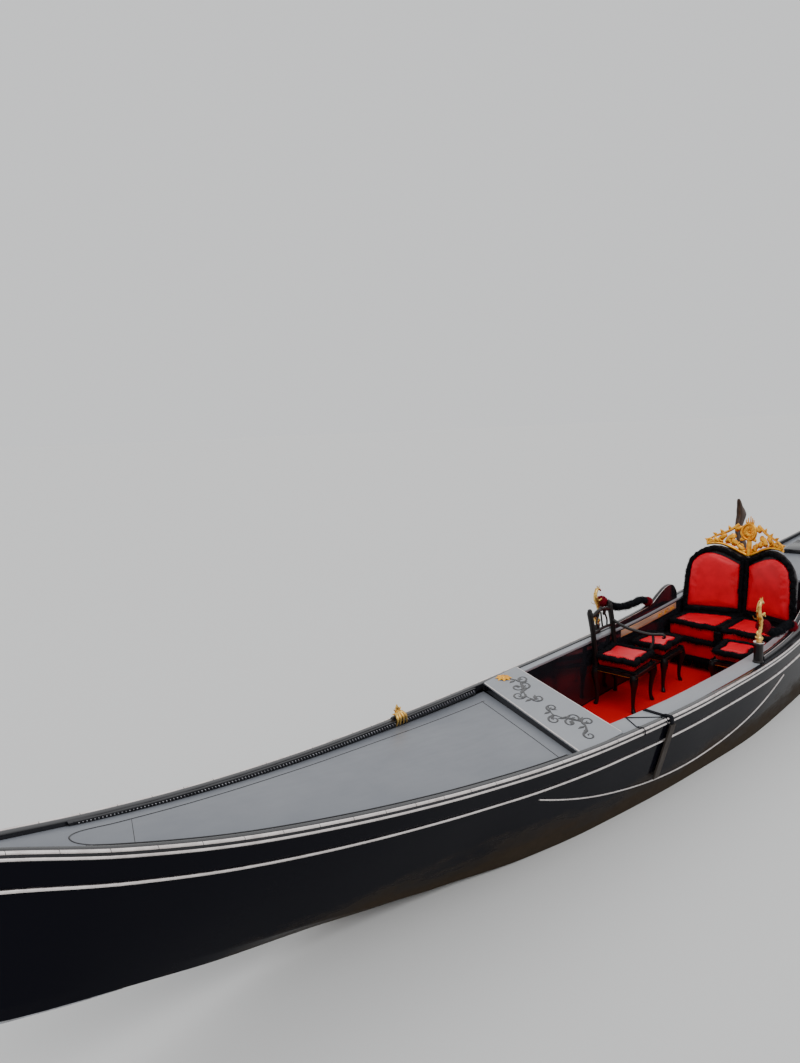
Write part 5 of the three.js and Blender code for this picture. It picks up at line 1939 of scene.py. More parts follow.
    def crown(self) -> list[Piece]:
        """The small crown over the medallion.

        Returns:
            The parts.
        """
        low = self.crown_foot
        parts = [
            self.rod([(-0.032, low), (0.0, low - 0.004), (0.032, low)], 0.007, 0.007),
            self.rod([(-0.030, low + 0.008), (0.0, low + 0.005), (0.030, low + 0.008)], 0.004, 0.004, 0.006),
        ]
        for u, top in ((-0.034, 1.425), (-0.018, 1.440), (0.0, 1.448), (0.018, 1.440), (0.034, 1.425)):
            parts.append(self.rod([(u * 0.85, low), (u, (low + top) / 2), (u * 0.95, top)], 0.005, 0.003))
            parts.append(self.knob(u * 0.95, top + 0.003, 0.0055))
        parts.append(self.knob(0.0, 1.457, 0.0055))
        return parts


# Chairs.


@dataclass
class Chair:
    """A seat in its own axes: x along its width, y towards its front, turned about the upright axis."""

    name: str
    x: float
    y: float
    turned: float
    half: float
    depth: float
    seat: float
    pad: float
    leg: float
    leg_depth: float
    rail: float = 0.036
    floor: float = 0.1166
    # Heights of a leg as shares, how far it is pushed outwards there, and its radius.
    leg_form: Sequence[tuple[float, float, float]] = (
        (1.0, 0.000, 0.023), (0.90, 0.006, 0.026), (0.78, 0.008, 0.024), (0.62, 0.002, 0.017),
        (0.45, -0.006, 0.0135), (0.28, -0.010, 0.0115), (0.14, -0.008, 0.0105), (0.06, 0.000, 0.0125),
        (0.02, 0.004, 0.0145), (0.0, 0.004, 0.011),
    )
    # Heights over the lower edge of the rail, or under its upper edge, and how far it stands out there.
    rail_form: Sequence[Flat] = (
        (0.0, -0.012), (0.004, 0.0), (0.012, 0.001), (-0.012, -0.002), (-0.003, 0.0), (-0.0, -0.004),
    )

    def at(self, x: float, y: float, z: float) -> Vector:
        """A point given in the seat's own axes."""
        c, s = math.cos(self.turned), math.sin(self.turned)
        return Vector((self.x + x * c - y * s, self.y + x * s + y * c, z))

    def along(self, points: Sequence[Point], steps: int) -> list[Vector]:
        """A smooth curve through points given in the seat's own axes."""
        return smooth_path([self.at(*point) for point in points], steps)

    def corners(self, clear: float) -> list[Flat]:
        """The plan of the seat, with its sides curved in a little.

        Args:
            clear: how far it is drawn in all round.

        Returns:
            Its points.
        """
        a, b = self.half - clear, self.depth - clear
        return [
            (-a, -b), (0.0, -b + 0.006), (a, -b), (a - 0.005, 0.0), (a, b), (0.0, b + 0.004), (-a, b),
            (-a + 0.005, 0.0),
        ]

    def frame(self) -> list[Piece]:
        """The seat rail with its edge mouldings, on four cabriole legs.

        Returns:
            The parts.
        """
        low, high = self.seat - self.rail, self.seat
        rows = []
        for k, (shift, out) in enumerate(self.rail_form):
            z = shift + (low if k < len(self.rail_form) / 2 else high)
            rows.append([self.at(x, y, z) for x, y in self.corners(-out)])
        return [net("rail", rows), *(self.cabriole(sx, sy) for sx in (-1, 1) for sy in (-1, 1))]

    def cabriole(self, sx: int, sy: int) -> Piece:
        """One leg: a knee that swells outwards, a slim ankle and a scrolled foot.

        Args:
            sx: its side, 1 or -1.
            sy: 1 at the front and -1 at the back.

        Returns:
            The leg.
        """
        tall = self.seat - 0.014 - self.floor
        out = Vector((sx, sy, 0)) * 0.7
        curve = self.along([
            (sx * self.leg + out.x * push, sy * self.leg_depth + out.y * push, self.floor + tall * share)
            for share, push, _ in self.leg_form
        ], 3)
        sizes = [1.3 * radius for *_, radius in self.leg_form]
        return tube("leg", curve, list(spread(sizes, len(curve))), 10)

    def ring(self, z: float, clear: float) -> list[Vector]:
        """A closed line round the seat."""
        a, b = self.half - clear, self.depth - clear
        return [self.at(x, y, z) for x, y in ((-a, -b), (a, -b), (a, b), (-a, b), (-a, -b))]

    def cushion(self) -> None:
        """The stuffed pad in place of its node."""
        node = f"{self.name}_cushion"
        shape = Cushion(self.corners(0.006), self.pad, round=0.028, voxel=0.011, swell=0.014, pull=0.006)
        pad = shape.build(node + "_pad")
        middle = self.at(0, 0, 0)
        axes = self.at(1, 0, 0) - middle, self.at(0, 1, 0) - middle, UP
        placed(pad, self.at(0, 0, self.seat + 0.0003), *axes)
        dressed(pad, Finishes.SATIN, [node])

    def build(self) -> None:
        """Builds the frame, the cushion, its fringes, and a gilt line along the rail's lower edge, painted in
        as that edge's highlight.
        """
        finished(f"{self.name}_carved_frame", self.frame(), Finishes.EBONY, [f"{self.name}_frame"], 50)
        self.cushion()
        top = self.ring(self.seat + self.pad - 0.012, 0.025)
        Fringe(radius=0.039).lay(f"{self.name}_top_fringe", top, 80)
        Fringe(radius=0.012).lay(f"{self.name}_low_fringe", self.ring(self.seat + 0.004, 0.010), 81)
        # A gilt cord painted in as the highlight along the rail's lower edge.
        line = tube(f"{self.name}_edge_line", self.ring(self.seat - self.rail + 0.006, -0.0008), 0.0018, 6)
        dressed(smooth(line, 60), Finishes.GILT)


@dataclass
class Armchair(Chair):
    """The armchair: a seat with two back posts, a carved top rail and one curved arm."""

    post: float = 0.880

    def frame(self) -> list[Piece]:
        """The seat, posts, rails, splat and arm."""
        return [*super().frame(), *self.posts(), *self.back(), *self.arm()]

    def posts(self) -> list[Piece]:
        """The two back posts, leaning back, each under a knob.

        Returns:
            The parts.
        """
        levels = (
            (self.seat - 0.02, -0.006, 0.022), (self.seat + 0.10, 0.000, 0.021),
            (self.seat + 0.19, 0.008, 0.022), (self.seat + 0.32, 0.026, 0.024),
            (self.post - 0.02, 0.044, 0.026), (self.post, 0.046, 0.021),
        )
        parts = []
        for sx in (-1, 1):
            path = self.along([(sx * self.leg, -self.leg - behind, z) for z, behind, _ in levels], 4)
            radii = spread([radius for *_, radius in levels], len(path))
            parts.append(tube("post", path, list(radii), 10, 0.75))
            parts.append(self.knob(sx * self.leg, -self.leg - 0.046, self.post + 0.004, 0.019))
        return parts

    def back(self) -> list[Piece]:
        """The arched top rail with its scrolls and knob, the lower rail and the three splats.

        Returns:
            The parts.
        """
        rear, top = -self.leg, self.post
        arch = ((-0.17, 0.0), (-0.12, 0.004), (-0.06, 0.020), (0.0, 0.028), (0.06, 0.020), (0.12, 0.004),
                (0.17, 0.0))
        line = self.along([(x, rear - 0.038, top - 0.045 + rise) for x, rise in arch], 4)
        parts = [tube("top_rail", line, 0.016, 10)]
        for sx in (-1, 1):
            curl = spiral((0.052, top - 0.052), 0.030, 0.005, 110, -1.3)
            scroll = [self.at(sx * u, rear - 0.036, z) for u, z in curl]
            parts.append(tapered("scroll", scroll, 0.0085, 0.004, 8))
        parts.append(self.knob(0.0, rear - 0.038, top - 0.006, 0.014))
        bowed = ((-0.17, 0), (0, 0.012), (0.17, 0))
        rail = self.along([(x, rear - 0.018, 0.700 + rise) for x, rise in bowed], 6)
        parts.append(tube("back_rail", rail, 0.0115, 10))
        for x, bow in ((-0.07, -0.018), (0.0, 0.0), (0.07, 0.018)):
            splat = self.along([
                (x, rear - 0.019, 0.70), (x + bow, rear - 0.028, 0.765), (x * 0.7, rear - 0.037, top - 0.040),
            ], 5)
            parts.append(tube("splat", splat, 0.0075, 8))
        return parts

    def arm(self) -> list[Piece]:
        """The curved arm, thinner at its scrolled end, and the stump under it.

        Returns:
            The parts.
        """
        arm = self.along([
            (-0.170, -0.196, 0.748), (-0.176, -0.12, 0.706), (-0.180, -0.03, 0.680), (-0.212, 0.11, 0.655),
            (-0.243, 0.205, 0.660), (-0.250, 0.226, 0.645), (-0.247, 0.218, 0.632), (-0.240, 0.206, 0.636),
        ], 5)
        radii = [0.018] * (len(arm) - 12) + list(np.linspace(0.018, 0.009, 12))
        stump = self.along([
            (-0.220, 0.140, 0.652), (-0.205, 0.150, 0.60), (-0.176, 0.140, 0.53), (-0.170, 0.130, 0.43),
        ], 5)
        return [tube("arm", arm, radii, 12, 0.62), tapered("stump", stump, 0.010, 0.015, 10)]

    def knob(self, x: float, y: float, z: float, radius: float) -> Piece:
        """A ball with a groove round it.

        Args:
            x: its place along the width.
            y: its place towards the front.
            z: its height.
            radius: its radius.

        Returns:
            The knob.
        """
        middle = self.at(x, y, z)
        turn = round_turn(12)
        rows = []
        for angle in (-80, -50, -20, -4, 0, 4, 25, 55, 82):
            size = radius * (0.93 if angle == 0 else 1.0) * math.cos(math.radians(angle))
            height = radius * math.sin(math.radians(angle))
            rows.append([middle + Vector((size * math.cos(a), size * math.sin(a), height)) for a in turn])
        return net("knob", rows)


# Sea-horses, ropes and tufts.


@dataclass
class SeaHorse:
    """A brass sea-horse, rearing on a ringed post."""

    side: Side
    x: float
    inboard: float
    foot: float
    post: float
    drop: float
    # Distances ahead of the post and over its foot, and radii, from the tail's root to the snout.
    spine: Sequence[tuple[float, float, float]] = (
        (0.0, 0.0, 0.010), (-0.022, 0.048, 0.014), (-0.012, 0.108, 0.019), (0.020, 0.158, 0.020),
        (0.026, 0.205, 0.016), (0.006, 0.243, 0.0145), (-0.022, 0.246, 0.013), (-0.044, 0.232, 0.009),
        (-0.052, 0.224, 0.0065),
    )

    @property
    def y(self) -> float:
        """Its place across the boat."""
        return self.side.value * (LINES.rail(self.side, self.x) - self.inboard)

    def build(self) -> None:
        """Builds the sea-horse, its post and the ring between them, the ring painted pale for its highlight.
        """
        low = max(LINES.sheer(self.x - self.post), LINES.sheer(self.x + self.post)) - self.drop + CLEAR
        foot, wide, word = self.foot, 1.35 * self.post, self.side.word
        pedestal = ((low, wide), (low + 0.008, wide), (low + 0.014, wide * 0.86), (foot - 0.062, wide * 0.80),
                    (foot - 0.056, wide * 0.9), (foot - 0.050, wide * 0.8))
        cap = ((foot - 0.052, 0.010), (foot - 0.050, wide * 0.8), (foot - 0.044, wide), (foot - 0.038, wide),
               (foot - 0.034, wide * 0.7), (foot - 0.030, 0.012))
        stem = ((foot - 0.034, 0.021), (foot - 0.028, 0.017), (foot - 0.020, 0.026), (foot - 0.006, 0.028),
                (foot, 0.025), (foot + 0.006, 0.016), (foot + 0.022, 0.013))
        dressed(smooth(self.turned(f"sea_horse_pedestal_{word}", pedestal), 40), Finishes.EBONY)
        dressed(smooth(self.turned(f"sea_horse_cap_{word}", cap), 40), Finishes.STRAKE)
        parts = [self.turned("stem", stem), *self.body()]
        finished(f"sea_horse_cast_{word}", parts, Finishes.BRASS, [f"sea_horse_{word}"], 45)

    def turned(self, name: str, profile: Iterable[Flat]) -> Piece:
        """A turned form about the post's axis.

        Args:
            name: the new object's name.
            profile: its heights and radii.

        Returns:
            The new object.
        """
        turn = round_turn(24)
        return net(name, [
            [(self.x + r * math.cos(a), self.y + r * math.sin(a), z) for a in turn] for z, r in profile
        ])

    def at(self, ahead: float, rise: float, out: float = 0.0) -> Vector:
        """A point by its distances ahead of the post, over its foot and to the side."""
        return Vector((self.x + ahead, self.y + out, self.foot + 0.010 + rise))

    def body(self) -> list[Piece]:
        """The curled tail, the ringed body, the arched neck and the head, with fins, mane and ears.

        Returns:
            The parts.
        """
        path = smooth_path([self.at(ahead, rise) for ahead, rise, _ in self.spine], 6)
        ways = np.linspace(0, len(self.spine) - 1, len(path))
        rings = 1 + 0.07 * np.sin(ways * 13.0) * (ways < 4.2)
        radii = spread([radius for *_, radius in self.spine], len(path)) * rings
        parts = [tube("body", path, list(radii), 14, 0.8)]
        tail = [self.at(u, z) for u, z in spiral((0.022, 0.020), 0.024, 0.005, 200, 1.5, 26)]
        parts.append(tapered("tail", tail, 0.0095, 0.003, 8))
        for k in range(9):
            i = int((0.16 + 0.075 * k) * (len(path) - 1))
            point = path[i]
            along = (path[min(i + 1, len(path) - 1)] - point).normalized()
            back = Vector((along.z, 0.0, -along.x))
            size = 0.020 if k > 3 else 0.014
            lock = [point + back * 0.010, point + back * (0.014 + size * 0.5) + along * 0.004,
                    point + back * (0.012 + size) - along * 0.006]
            parts.append(tube("mane", lock, [0.005, 0.0035, 0.001], 6))
        for out in (-1, 1):
            parts += self.flank(out)
        return parts

    def flank(self, out: int) -> list[Piece]:
        """The ear, the fore leg and the fin of one flank.

        Args:
            out: the flank, 1 or -1.

        Returns:
            The parts.
        """
        ear = [self.at(-0.012, 0.256, out * 0.007), self.at(-0.008, 0.272, out * 0.010)]
        leg = [self.at(-0.004, 0.148, out * 0.012), self.at(-0.036, 0.160, out * 0.018),
               self.at(-0.040, 0.138, out * 0.017), self.at(-0.052, 0.134, out * 0.016)]
        fin = [self.at(0.014, 0.120, out * 0.014), self.at(0.034, 0.128, out * 0.026),
               self.at(0.050, 0.150, out * 0.030)]
        return [
            tube("ear", ear, [0.004, 0.001], 6), tube("leg", leg, [0.008, 0.0065, 0.0045, 0.0055], 8),
            tapered("fin", smooth_path(fin, 4), 0.009, 0.002, 8, 0.4),
        ]


@dataclass
class HandRope:
    """A fluffy rope between two tufts, from the sea-horse down to the armrest board."""

    side: Side
    horse: SeaHorse
    board_top: float
    from_horse: float = 0.068
    fore_z: float = 0.885
    aft_x: float = -0.510
    sunk: float = 0.006
    fore_tuft: float = 0.056
    aft_tuft: float = 0.050
    diameter: float = 0.080
    dip: Sequence[Flat] = ((0.2, 0.820), (0.35, 0.784), (0.52, 0.770), (0.72, 0.772), (0.87, 0.776))

    def ends(self) -> tuple[Vector, Vector]:
        """The middles of the two tufts.

        Returns:
            The fore one's and the aft one's.
        """
        height = LINES.sheer(self.aft_x) + self.board_top + self.aft_tuft - self.sunk
        across = self.side.value * (LINES.rail_inner(self.side, self.aft_x) - 0.022)
        fore = Vector((self.horse.x - self.from_horse, self.horse.y, self.fore_z))
        return fore, Vector((self.aft_x, across, height))

    def build(self) -> None:
        fore, aft = self.ends()
        word = self.side.word
        ends = ("fore", fore, self.fore_tuft), ("aft", aft, self.aft_tuft)
        for i, (end, place, radius) in enumerate(ends):
            wool = Tuft(radius=radius, core=0.72, width=0.0022, droop=0.1)
            ball_of_wool = wool.ball(f"tuft_{end}_{word}", place, 90 + i)
            dressed(ball_of_wool, Finishes.TUFT, [f"rope_tuft_{end}_{word}"])
        points = [fore] + [Vector((*fore.lerp(aft, share).to_2d(), z)) for share, z in self.dip] + [aft]
        route = smooth_path(points, 6)
        start = next(i for i, point in enumerate(route) if (point - fore).length > 0.8 * self.fore_tuft)
        end = next(i for i, point in enumerate(route) if (point - aft).length < 0.8 * self.aft_tuft)
        route = [Vector(tuple(point)) for point in resampled(route[start:end], 0.025)]
        hair = Fringe(radius=0.5 * self.diameter + 0.004, core=0.6, per_metre=5200, width=0.0018, droop=0.12)
        rope = hair.build(f"hand_rope_wool_{word}", route, 95)
        dressed(rope, Finishes.ROPE, [f"hand_rope_{word}"])


# Decks, ornament and fittings.


@dataclass
class Foredeck:
    """The foredeck: one smooth cambered skin, a dark outline laid on it, and a carved moulding along each
    rail.
    """

    aft: float = 2.022
    fore: float = 4.896
    camber: float = 0.026
    plate: float = 0.022
    full: float = 0.300
    groove: float = 0.115
    port_groove: float = 0.034
    # How deep the deck lies at the thwart, where its camber is a share of the full one, and how that ends.
    sunk: float = 0.010
    flat_share: float = 0.25
    flat_to: float = 2.0
    easing: float = 1.3
    moulding_top: float = 0.012
    moulding_end: float = 4.56

    def place(self, x: float, across: float) -> tuple[float, float, float]:
        """A point on the deck's skin, whose rows turn from square at the bow to slanted at the thwart.

        Args:
            x: the row's place along the boat, on the centre line.
            across: the place in the row, from -1 at the starboard rail to 1 at the port rail.

        Returns:
            The point.
        """
        share = (x - self.aft) / (self.fore - self.aft)
        side = Side.of(across)
        along = x
        half = 0.0
        for _ in range(4):
            half = LINES.rail_inner(side, along) - CLEAR
            along = x + across * half * SKEW * (1 - share)
        return along, across * half, LINES.deck_edge(along) + self.rise(along, across)

    def rise(self, x: float, share: float) -> float:
        """How far the deck rises over its edge; near the thwart it is flatter and lies a little deeper.

        Args:
            x: the place along the boat.
            share: the place across, from 0 in the middle to 1 or -1 at a rail.

        Returns:
            The rise over the edge.
        """
        half = (LINES.rail_inner(Side.PORT, x) + LINES.rail_inner(Side.STARBOARD, x)) / 2
        ease = unit((x - self.flat_to) / self.easing)
        ease = ease * ease * (3 - 2 * ease)
        crown = self.camber * (1 - share * share) * min(1.0, half / self.full)
        return crown * (self.flat_share + (1 - self.flat_share) * ease) - self.sunk * (1 - ease)

    def over(self, x: float, y: float, proud: float) -> Vector:
        """A point over the deck by its place in plan."""
        share = min(abs(y) / LINES.rail_inner(Side.of(y), x), 1.0)
        return Vector((x, y, LINES.deck_edge(x) + self.rise(x, share) + proud))

    def build(self, frame: dict) -> None:
        """Builds the deck and its trim.
        """
        rows = []
        for x in places(self.aft, self.fore, 0.045):
            top = [self.place(x, share) for share in np.linspace(-1, 1, 25)]
            rows.append([*top, *((px, py, pz - self.plate) for px, py, pz in reversed(top))])
        deck = smooth(net("foredeck_skin", rows), 40)
        dressed(deck, Finishes.DECK, ["foredeck", "foredeck_panel"])
        self.outline()
        for side in Side:
            self.moulding(side, frame)

    def outline(self) -> None:
        """A dark line laid on the deck along its outline, and the seam across its fore end."""
        star = [
            (x, -(LINES.rail_inner(Side.STARBOARD, x) - self.groove * (1 - 0.25 * (x - 2.0) / 2.6)))
            for x in places(1.985, 4.46, 0.08)
        ]
        nose = [(4.53, -0.014), (4.585, -0.001), (4.622, 0.022), (4.630, 0.052), (4.612, 0.084)]
        port = [(x, LINES.rail_inner(Side.PORT, x) - self.port_groove) for x in places(4.56, 2.40, 0.08)]
        aft = [(2.13 + SKEW * y, y) for y in places(0.600, -0.32, 0.05)]
        for i, line in enumerate(([*star, *nose, *port], aft)):
            path = smooth_path([self.over(x, y, 0.0004) for x, y in line], 3)
            dressed(smooth(tube(f"foredeck_line_{i + 1}", path, 0.0032, 6, 0.5), 60), Finishes.LACQUER)
        seam = [self.over(4.385 + 0.31 * (y + 0.036), y, 0.0003) for y in places(-0.036, 0.147, 0.03)]
        dressed(smooth(tube("foredeck_seam", seam, 0.0014, 6, 0.4), 60), Finishes.LACQUER)

    def moulding(self, side: Side, frame: dict) -> None:
        """The moulding along one rail, with a row of carved leaves on its face, the leaves painted pale for
        the highlights on the black carving.

        Args:
            side: the side of the boat.
        """
        node = f"foredeck_moulding_{side.word}"
        strip = bevelled(copy_of(frame, node, node + "_strip"), 0.002)
        start = 2.16 + 0.2 * side.value
        spots = [start]
        while spots[-1] < self.moulding_end:
            tall = LINES.deck_drop(spots[-1]) - self.moulding_top
            spots.append(spots[-1] + 0.012 + 0.36 * tall)
        tall = np.array([LINES.deck_drop(x) - self.moulding_top for x in spots])
        roots = np.array([
            (x, side.value * (LINES.rail_inner(side, x) - 0.0125), LINES.deck_edge(x) + 0.006) for x in spots
        ])
        roots[:, 2] += 0.16 * tall
        aims = np.stack([0.40 * tall, np.zeros(len(spots)), 0.66 * tall], axis=1)
        leaf = ball(8, 6, 0.5, (0, 0, 0.5), (2.0, 1.3, 1.0))
        leaves = scattered(node + "_leaves", leaf, roots, aims, 0.0040 + 0.06 * tall)
        path = [
            (x, side.value * (LINES.rail_inner(side, x) - 0.011), LINES.sheer(x) - 0.0065)
            for x in places(start, self.moulding_end + 0.02, 0.05)
        ]
        bead = tube("bead", path, 0.0042, 8)
        finished(node + "_carved", [strip, bead], Finishes.LACQUER, [node], 50)
        dressed(smooth(leaves, 60), Finishes.CARVED)


@dataclass
class Thwart:
    """The bow thwart: a lacquered board with edges painted pale for their highlights, black sheets over its
    fore and aft faces painted dark for their shade, black vines and a gilt rosette.
    """

    fore: float = 2.020
    aft: float = 1.640
    thick: float = 0.050
    edge: float = 0.007
    top: float = LINES.sheer(1.83) + 0.004
    # For each vine: the side, how far out its root is, and how much it is lengthened and thickened.
    vine_forms: Sequence[tuple[int, float, float, float]] = ((1, 0.480, 1.15, 1.35), (-1, 0.355, 1.2, 1.45))
    # Each scroll's distance back from the vine's root, share of the board's depth, radius, direction, turns.
    curls: Sequence[tuple[float, float, float, float, float]] = (
        (0.27, 0.59, 0.034, 60, 1.3), (0.21, 0.59, 0.038, -110, -1.4), (0.15, 0.50, 0.036, 120, 1.4),
        (0.10, 0.405, 0.038, -70, -1.4), (0.05, 0.385, 0.036, 80, 1.3), (0.0, 0.48, 0.034, -150, -1.3),
    )
    # Each leaf's distance back, share of the board's depth and direction.
    leaves: Sequence[tuple[float, float, float]] = (
        (0.295, 0.55, -0.6), (0.24, 0.62, 0.9), (0.18, 0.545, -1.0), (0.125, 0.455, 0.9), (0.07, 0.36, -0.7),
        (0.02, 0.44, 0.9), (0.27, 0.585, 1.6), (0.16, 0.51, 2.2), (0.09, 0.39, -1.9), (0.04, 0.40, 1.7),
    )

    def at(self, y: float, share: float, proud: float = 0.0) -> Vector:
        """A point on its top: y across the boat, share from its aft edge to its fore edge."""
        return Vector((self.aft + (self.fore - self.aft) * share + SKEW * y, y, self.top + proud))

    def ends(self, share: float) -> list[float]:
        """Where its top ends.

        Args:
            share: the place from its aft edge to its fore edge.

        Returns:
            The ends at starboard and at port.
        """
        ends = []
        for side in (Side.STARBOARD, Side.PORT):
            y = side.value * 0.5
            for _ in range(6):
                y = side.value * (LINES.rail_inner(side, self.at(y, share).x) - 0.003)
            ends.append(y)
        return ends

    def build(self) -> None:
        """Builds the board and its ornament."""
        bevel = self.edge / (self.fore - self.aft)
        section = ((0.0, -self.thick), (0.0, -self.edge), (bevel, 0.0), (0.2, 0.0), (0.5, 0.0), (0.8, 0.0),
                   (1 - bevel, 0.0), (1.0, -self.edge), (1.0, -self.thick))
        rows = []
        for k in range(25):
            row = []
            for share, drop in section:
                star, port = self.ends(share)
                row.append(self.at(star + (port - star) * k / 24, share, drop))
            rows.append(row)
        dressed(smooth(net("thwart_board", rows), 30), Finishes.PALE_DECK, ["bow_thwart"])
        lines, risers = [], []
        # Each edge gets a pale cord painted in as its highlight, and a black sheet over the face under it
        # painted dark as that face's shade.
        for share, out in ((0.0, -1), (1.0, 1)):
            star, port = self.ends(share)
            path = [
                self.at(y, share, -0.0028) + Vector((-0.0035 * out, 0, 0))
                for y in places(star + 0.012, port - 0.012, 0.1)
            ]
            lines.append(tube("edge", path, 0.0042, 8))
            along = places(star + 0.004, port - 0.004, 0.1)
            risers.append(net("riser", [self.riser(y, share, 0.0012 * out) for y in along]))
        finished("thwart_edge_highlights", lines, Finishes.STRAKE)
        finished("thwart_face_shade", risers, Finishes.LACQUER, angle=35)
        self.vines()
        self.rosette()

    def riser(self, y: float, share: float, shift: float) -> list[Vector]:
        """The section of the black sheet over the face under an edge of the top, painted dark for the shade
        on that face.

        Args:
            y: the place across the boat.
            share: the place from its aft edge to its fore edge.
            shift: how far forward its face stands.

        Returns:
            Its corners.
        """
        face = self.at(y, share) + Vector((shift, 0, 0))
        back = face - Vector((3 * shift, 0, 0))
        high, low = 0.011 * UP, self.thick * UP
        return [face - high, face - low, back - low, back - high]

    def vines(self) -> None:
        """Black scrolls and leaves on the top near both of its ends."""
        parts = []
        for sign, far, long, bold in self.vine_forms:
            stem = [(far - back * long, share) for back, share in (
                (0.32, 0.50), (0.24, 0.62), (0.15, 0.50), (0.07, 0.36), (0.0, 0.48))]
            path = smooth_path([self.at(sign * y, share, 0.0004) for y, share in stem], 8)
            parts.append(tapered("stem", path, 0.0028 * bold, 0.0050 * bold, 6, 0.35))
            for back, share, radius, angle, turns in self.curls:
                turn = math.radians(angle)
                radius *= bold
                centre = -radius * math.cos(turn), -radius * math.sin(turn)
                path = [
                    self.at(sign * (far - back * long + u), share + v / (self.fore - self.aft), 0.0004)
                    for u, v in spiral(centre, radius, 0.005, angle, turns, 26)
                ]
                parts.append(tapered("curl", path, 0.0060 * bold, 0.0028 * bold, 6, 0.3))
            for back, share, lean in self.leaves:
                reach = 0.044 * bold
                y = far - back * long
                root = self.at(sign * y, share, 0.0004)
                out = sign * (y + reach * math.cos(lean))
                tip = self.at(out, share + 2.8 * reach * math.sin(lean), 0.0004)
                radii = [0.0026, 0.0105 * bold, 0.0014]
                parts.append(tube("leaf", [root, (root + tip) / 2, tip], radii, 8, 0.14))
        finished("thwart_vines", parts, Finishes.LACQUER)

    def rosette(self) -> None:
        """A small gilt flower near the starboard end."""
        middle = self.at(-0.388, 0.55)
        parts = []
        for turn in round_turn(8):
            out = Vector((math.cos(turn), math.sin(turn), 0.0))
            path = [
                middle + out * reach + lift * UP
                for reach, lift in ((0.009, 0.003), (0.034, 0.007), (0.058, 0.001))
            ]
            parts.append(tube("petal", path, [0.007, 0.0160, 0.003], 8, 0.4))
        parts.append(ball(14, 8, 0.017, middle + 0.004 * UP, (1.0, 1.0, 0.6)))
        finished("thwart_rosette", parts, Finishes.GILT)


@dataclass(frozen=True)
class ArmrestBoard:
    """A board on the side deck that rises aft into a scroll, glossy black, with pale lines along its edges
    painted in as their highlights.
    """

    side: Side
    thick: float = 0.044
    clear: float = 0.002
    drop: float = 0.006
    profile: Sequence[Flat] = (
        (-1.030, 0.020), (-1.022, 0.070), (-1.005, 0.095), (-0.980, 0.124), (-0.950, 0.145), (-0.905, 0.158),
        (-0.860, 0.160), (-0.820, 0.156), (-0.780, 0.148), (-0.725, 0.130), (-0.670, 0.110), (-0.610, 0.084),
        (-0.550, 0.064), (-0.450, 0.054), (-0.330, 0.050), (-0.110, 0.043), (0.110, 0.036),
    )

    def build(self) -> None:
        """Builds the board with its lines, which paint in the highlights on its edges."""
        curve = flat_path(self.profile, 4)
        rows = []
        for x, rise in curve:
            outer = LINES.rail_inner(self.side, x) - self.clear
            inner = outer - self.thick
            low, high = LINES.sheer(x) - self.drop + CLEAR, LINES.sheer(x) + rise
            rows.append(self.side.section(x, [
                (outer, low), (outer, high - 0.010), (outer - 0.004, high - 0.004), (outer - 0.010, high),
                ((outer + inner) / 2, high + 0.0015), (inner + 0.010, high), (inner + 0.004, high - 0.004),
                (inner, high - 0.010), (inner, low),
            ]))
        word = self.side.word
        dressed(smooth(net(f"armrest_{word}", rows), 40), Finishes.LACQUER, [f"armrest_board_{word}"])
        lines = []
        for inwards in (0.005, self.thick - 0.005):
            path = [
                (x, self.side.value * (LINES.rail_inner(self.side, x) - self.clear - inwards),
                 LINES.sheer(x) + rise - 0.0022)
                for x, rise in curve[2:]
            ]
            lines.append(tube("line", path, 0.0022, 6))
        finished(f"armrest_lines_{word}", lines, Finishes.STRAKE)


@dataclass(frozen=True)
class CoamingTrim:
    """A pale wooden strip along the top of a coaming, its pale pinkish colour partly the wood's and partly
    painted in for the red and the sky reflected there, with gilt flowers at its aft end.
    """

    side: Side
    deck: float
    fore: float = 0.02
    aft: float = -0.98
    high: float = 0.034
    low: float = 0.094
    spacing: float = 0.115

    def face(self, x: float, z: float, proud: float) -> tuple[float, float, float]:
        """A point on the inner face of the coaming, or in front of it."""
        return x, self.side.value * (LINES.rail(self.side, x) - self.deck - proud), LINES.sheer(x) - z

    def build(self) -> None:
        """Builds the strip, its beads and its flowers."""
        word = self.side.word
        along = places(self.aft, self.fore, 0.06)
        section = ((self.high, -0.001), (self.high, 0.0025), (self.high + 0.002, 0.004),
                   (self.low - 0.002, 0.004), (self.low, 0.0025), (self.low, -0.001))
        rows = [[self.face(x, z, proud) for z, proud in section] for x in along]
        dressed(smooth(net(f"coaming_strip_{word}", rows), 40), Finishes.PALE_WOOD_REFLECTION)
        parts = [
            tube("bead", [self.face(x, depth, 0.0045) for x in along], 0.0018, 6)
            for depth in (self.high + 0.006, self.low - 0.006)
        ]
        for k in range(3):
            parts += self.flower(self.aft + 0.06 + self.spacing * k)
        finished(f"coaming_flowers_{word}", parts, Finishes.GILT)

    def flower(self, start: float) -> list[Piece]:
        """One flower between two scrolls.

        Args:
            start: the place of the aft scroll along the boat.

        Returns:
            The parts.
        """
        centre = (self.high + self.low) / 2
        parts = []
        for turn, middle in ((1, start), (-1, start + 0.055)):
            curl = spiral((0.0, 0.0), 0.019, 0.004, 90 * turn, 1.4 * turn, 20)
            path = [self.face(middle + u, centre - v, 0.005) for u, v in curl]
            parts.append(tapered("curl", path, 0.0034, 0.0018, 6))
        for turn in round_turn(6):
            path = [
                self.face(start + 0.028 + reach * math.cos(turn), centre + reach * math.sin(turn), 0.006)
                for reach in (0.002, 0.007, 0.014)
            ]
            parts.append(tube("petal", path, [0.0018, 0.0042, 0.0010], 6, 0.6))
        return parts


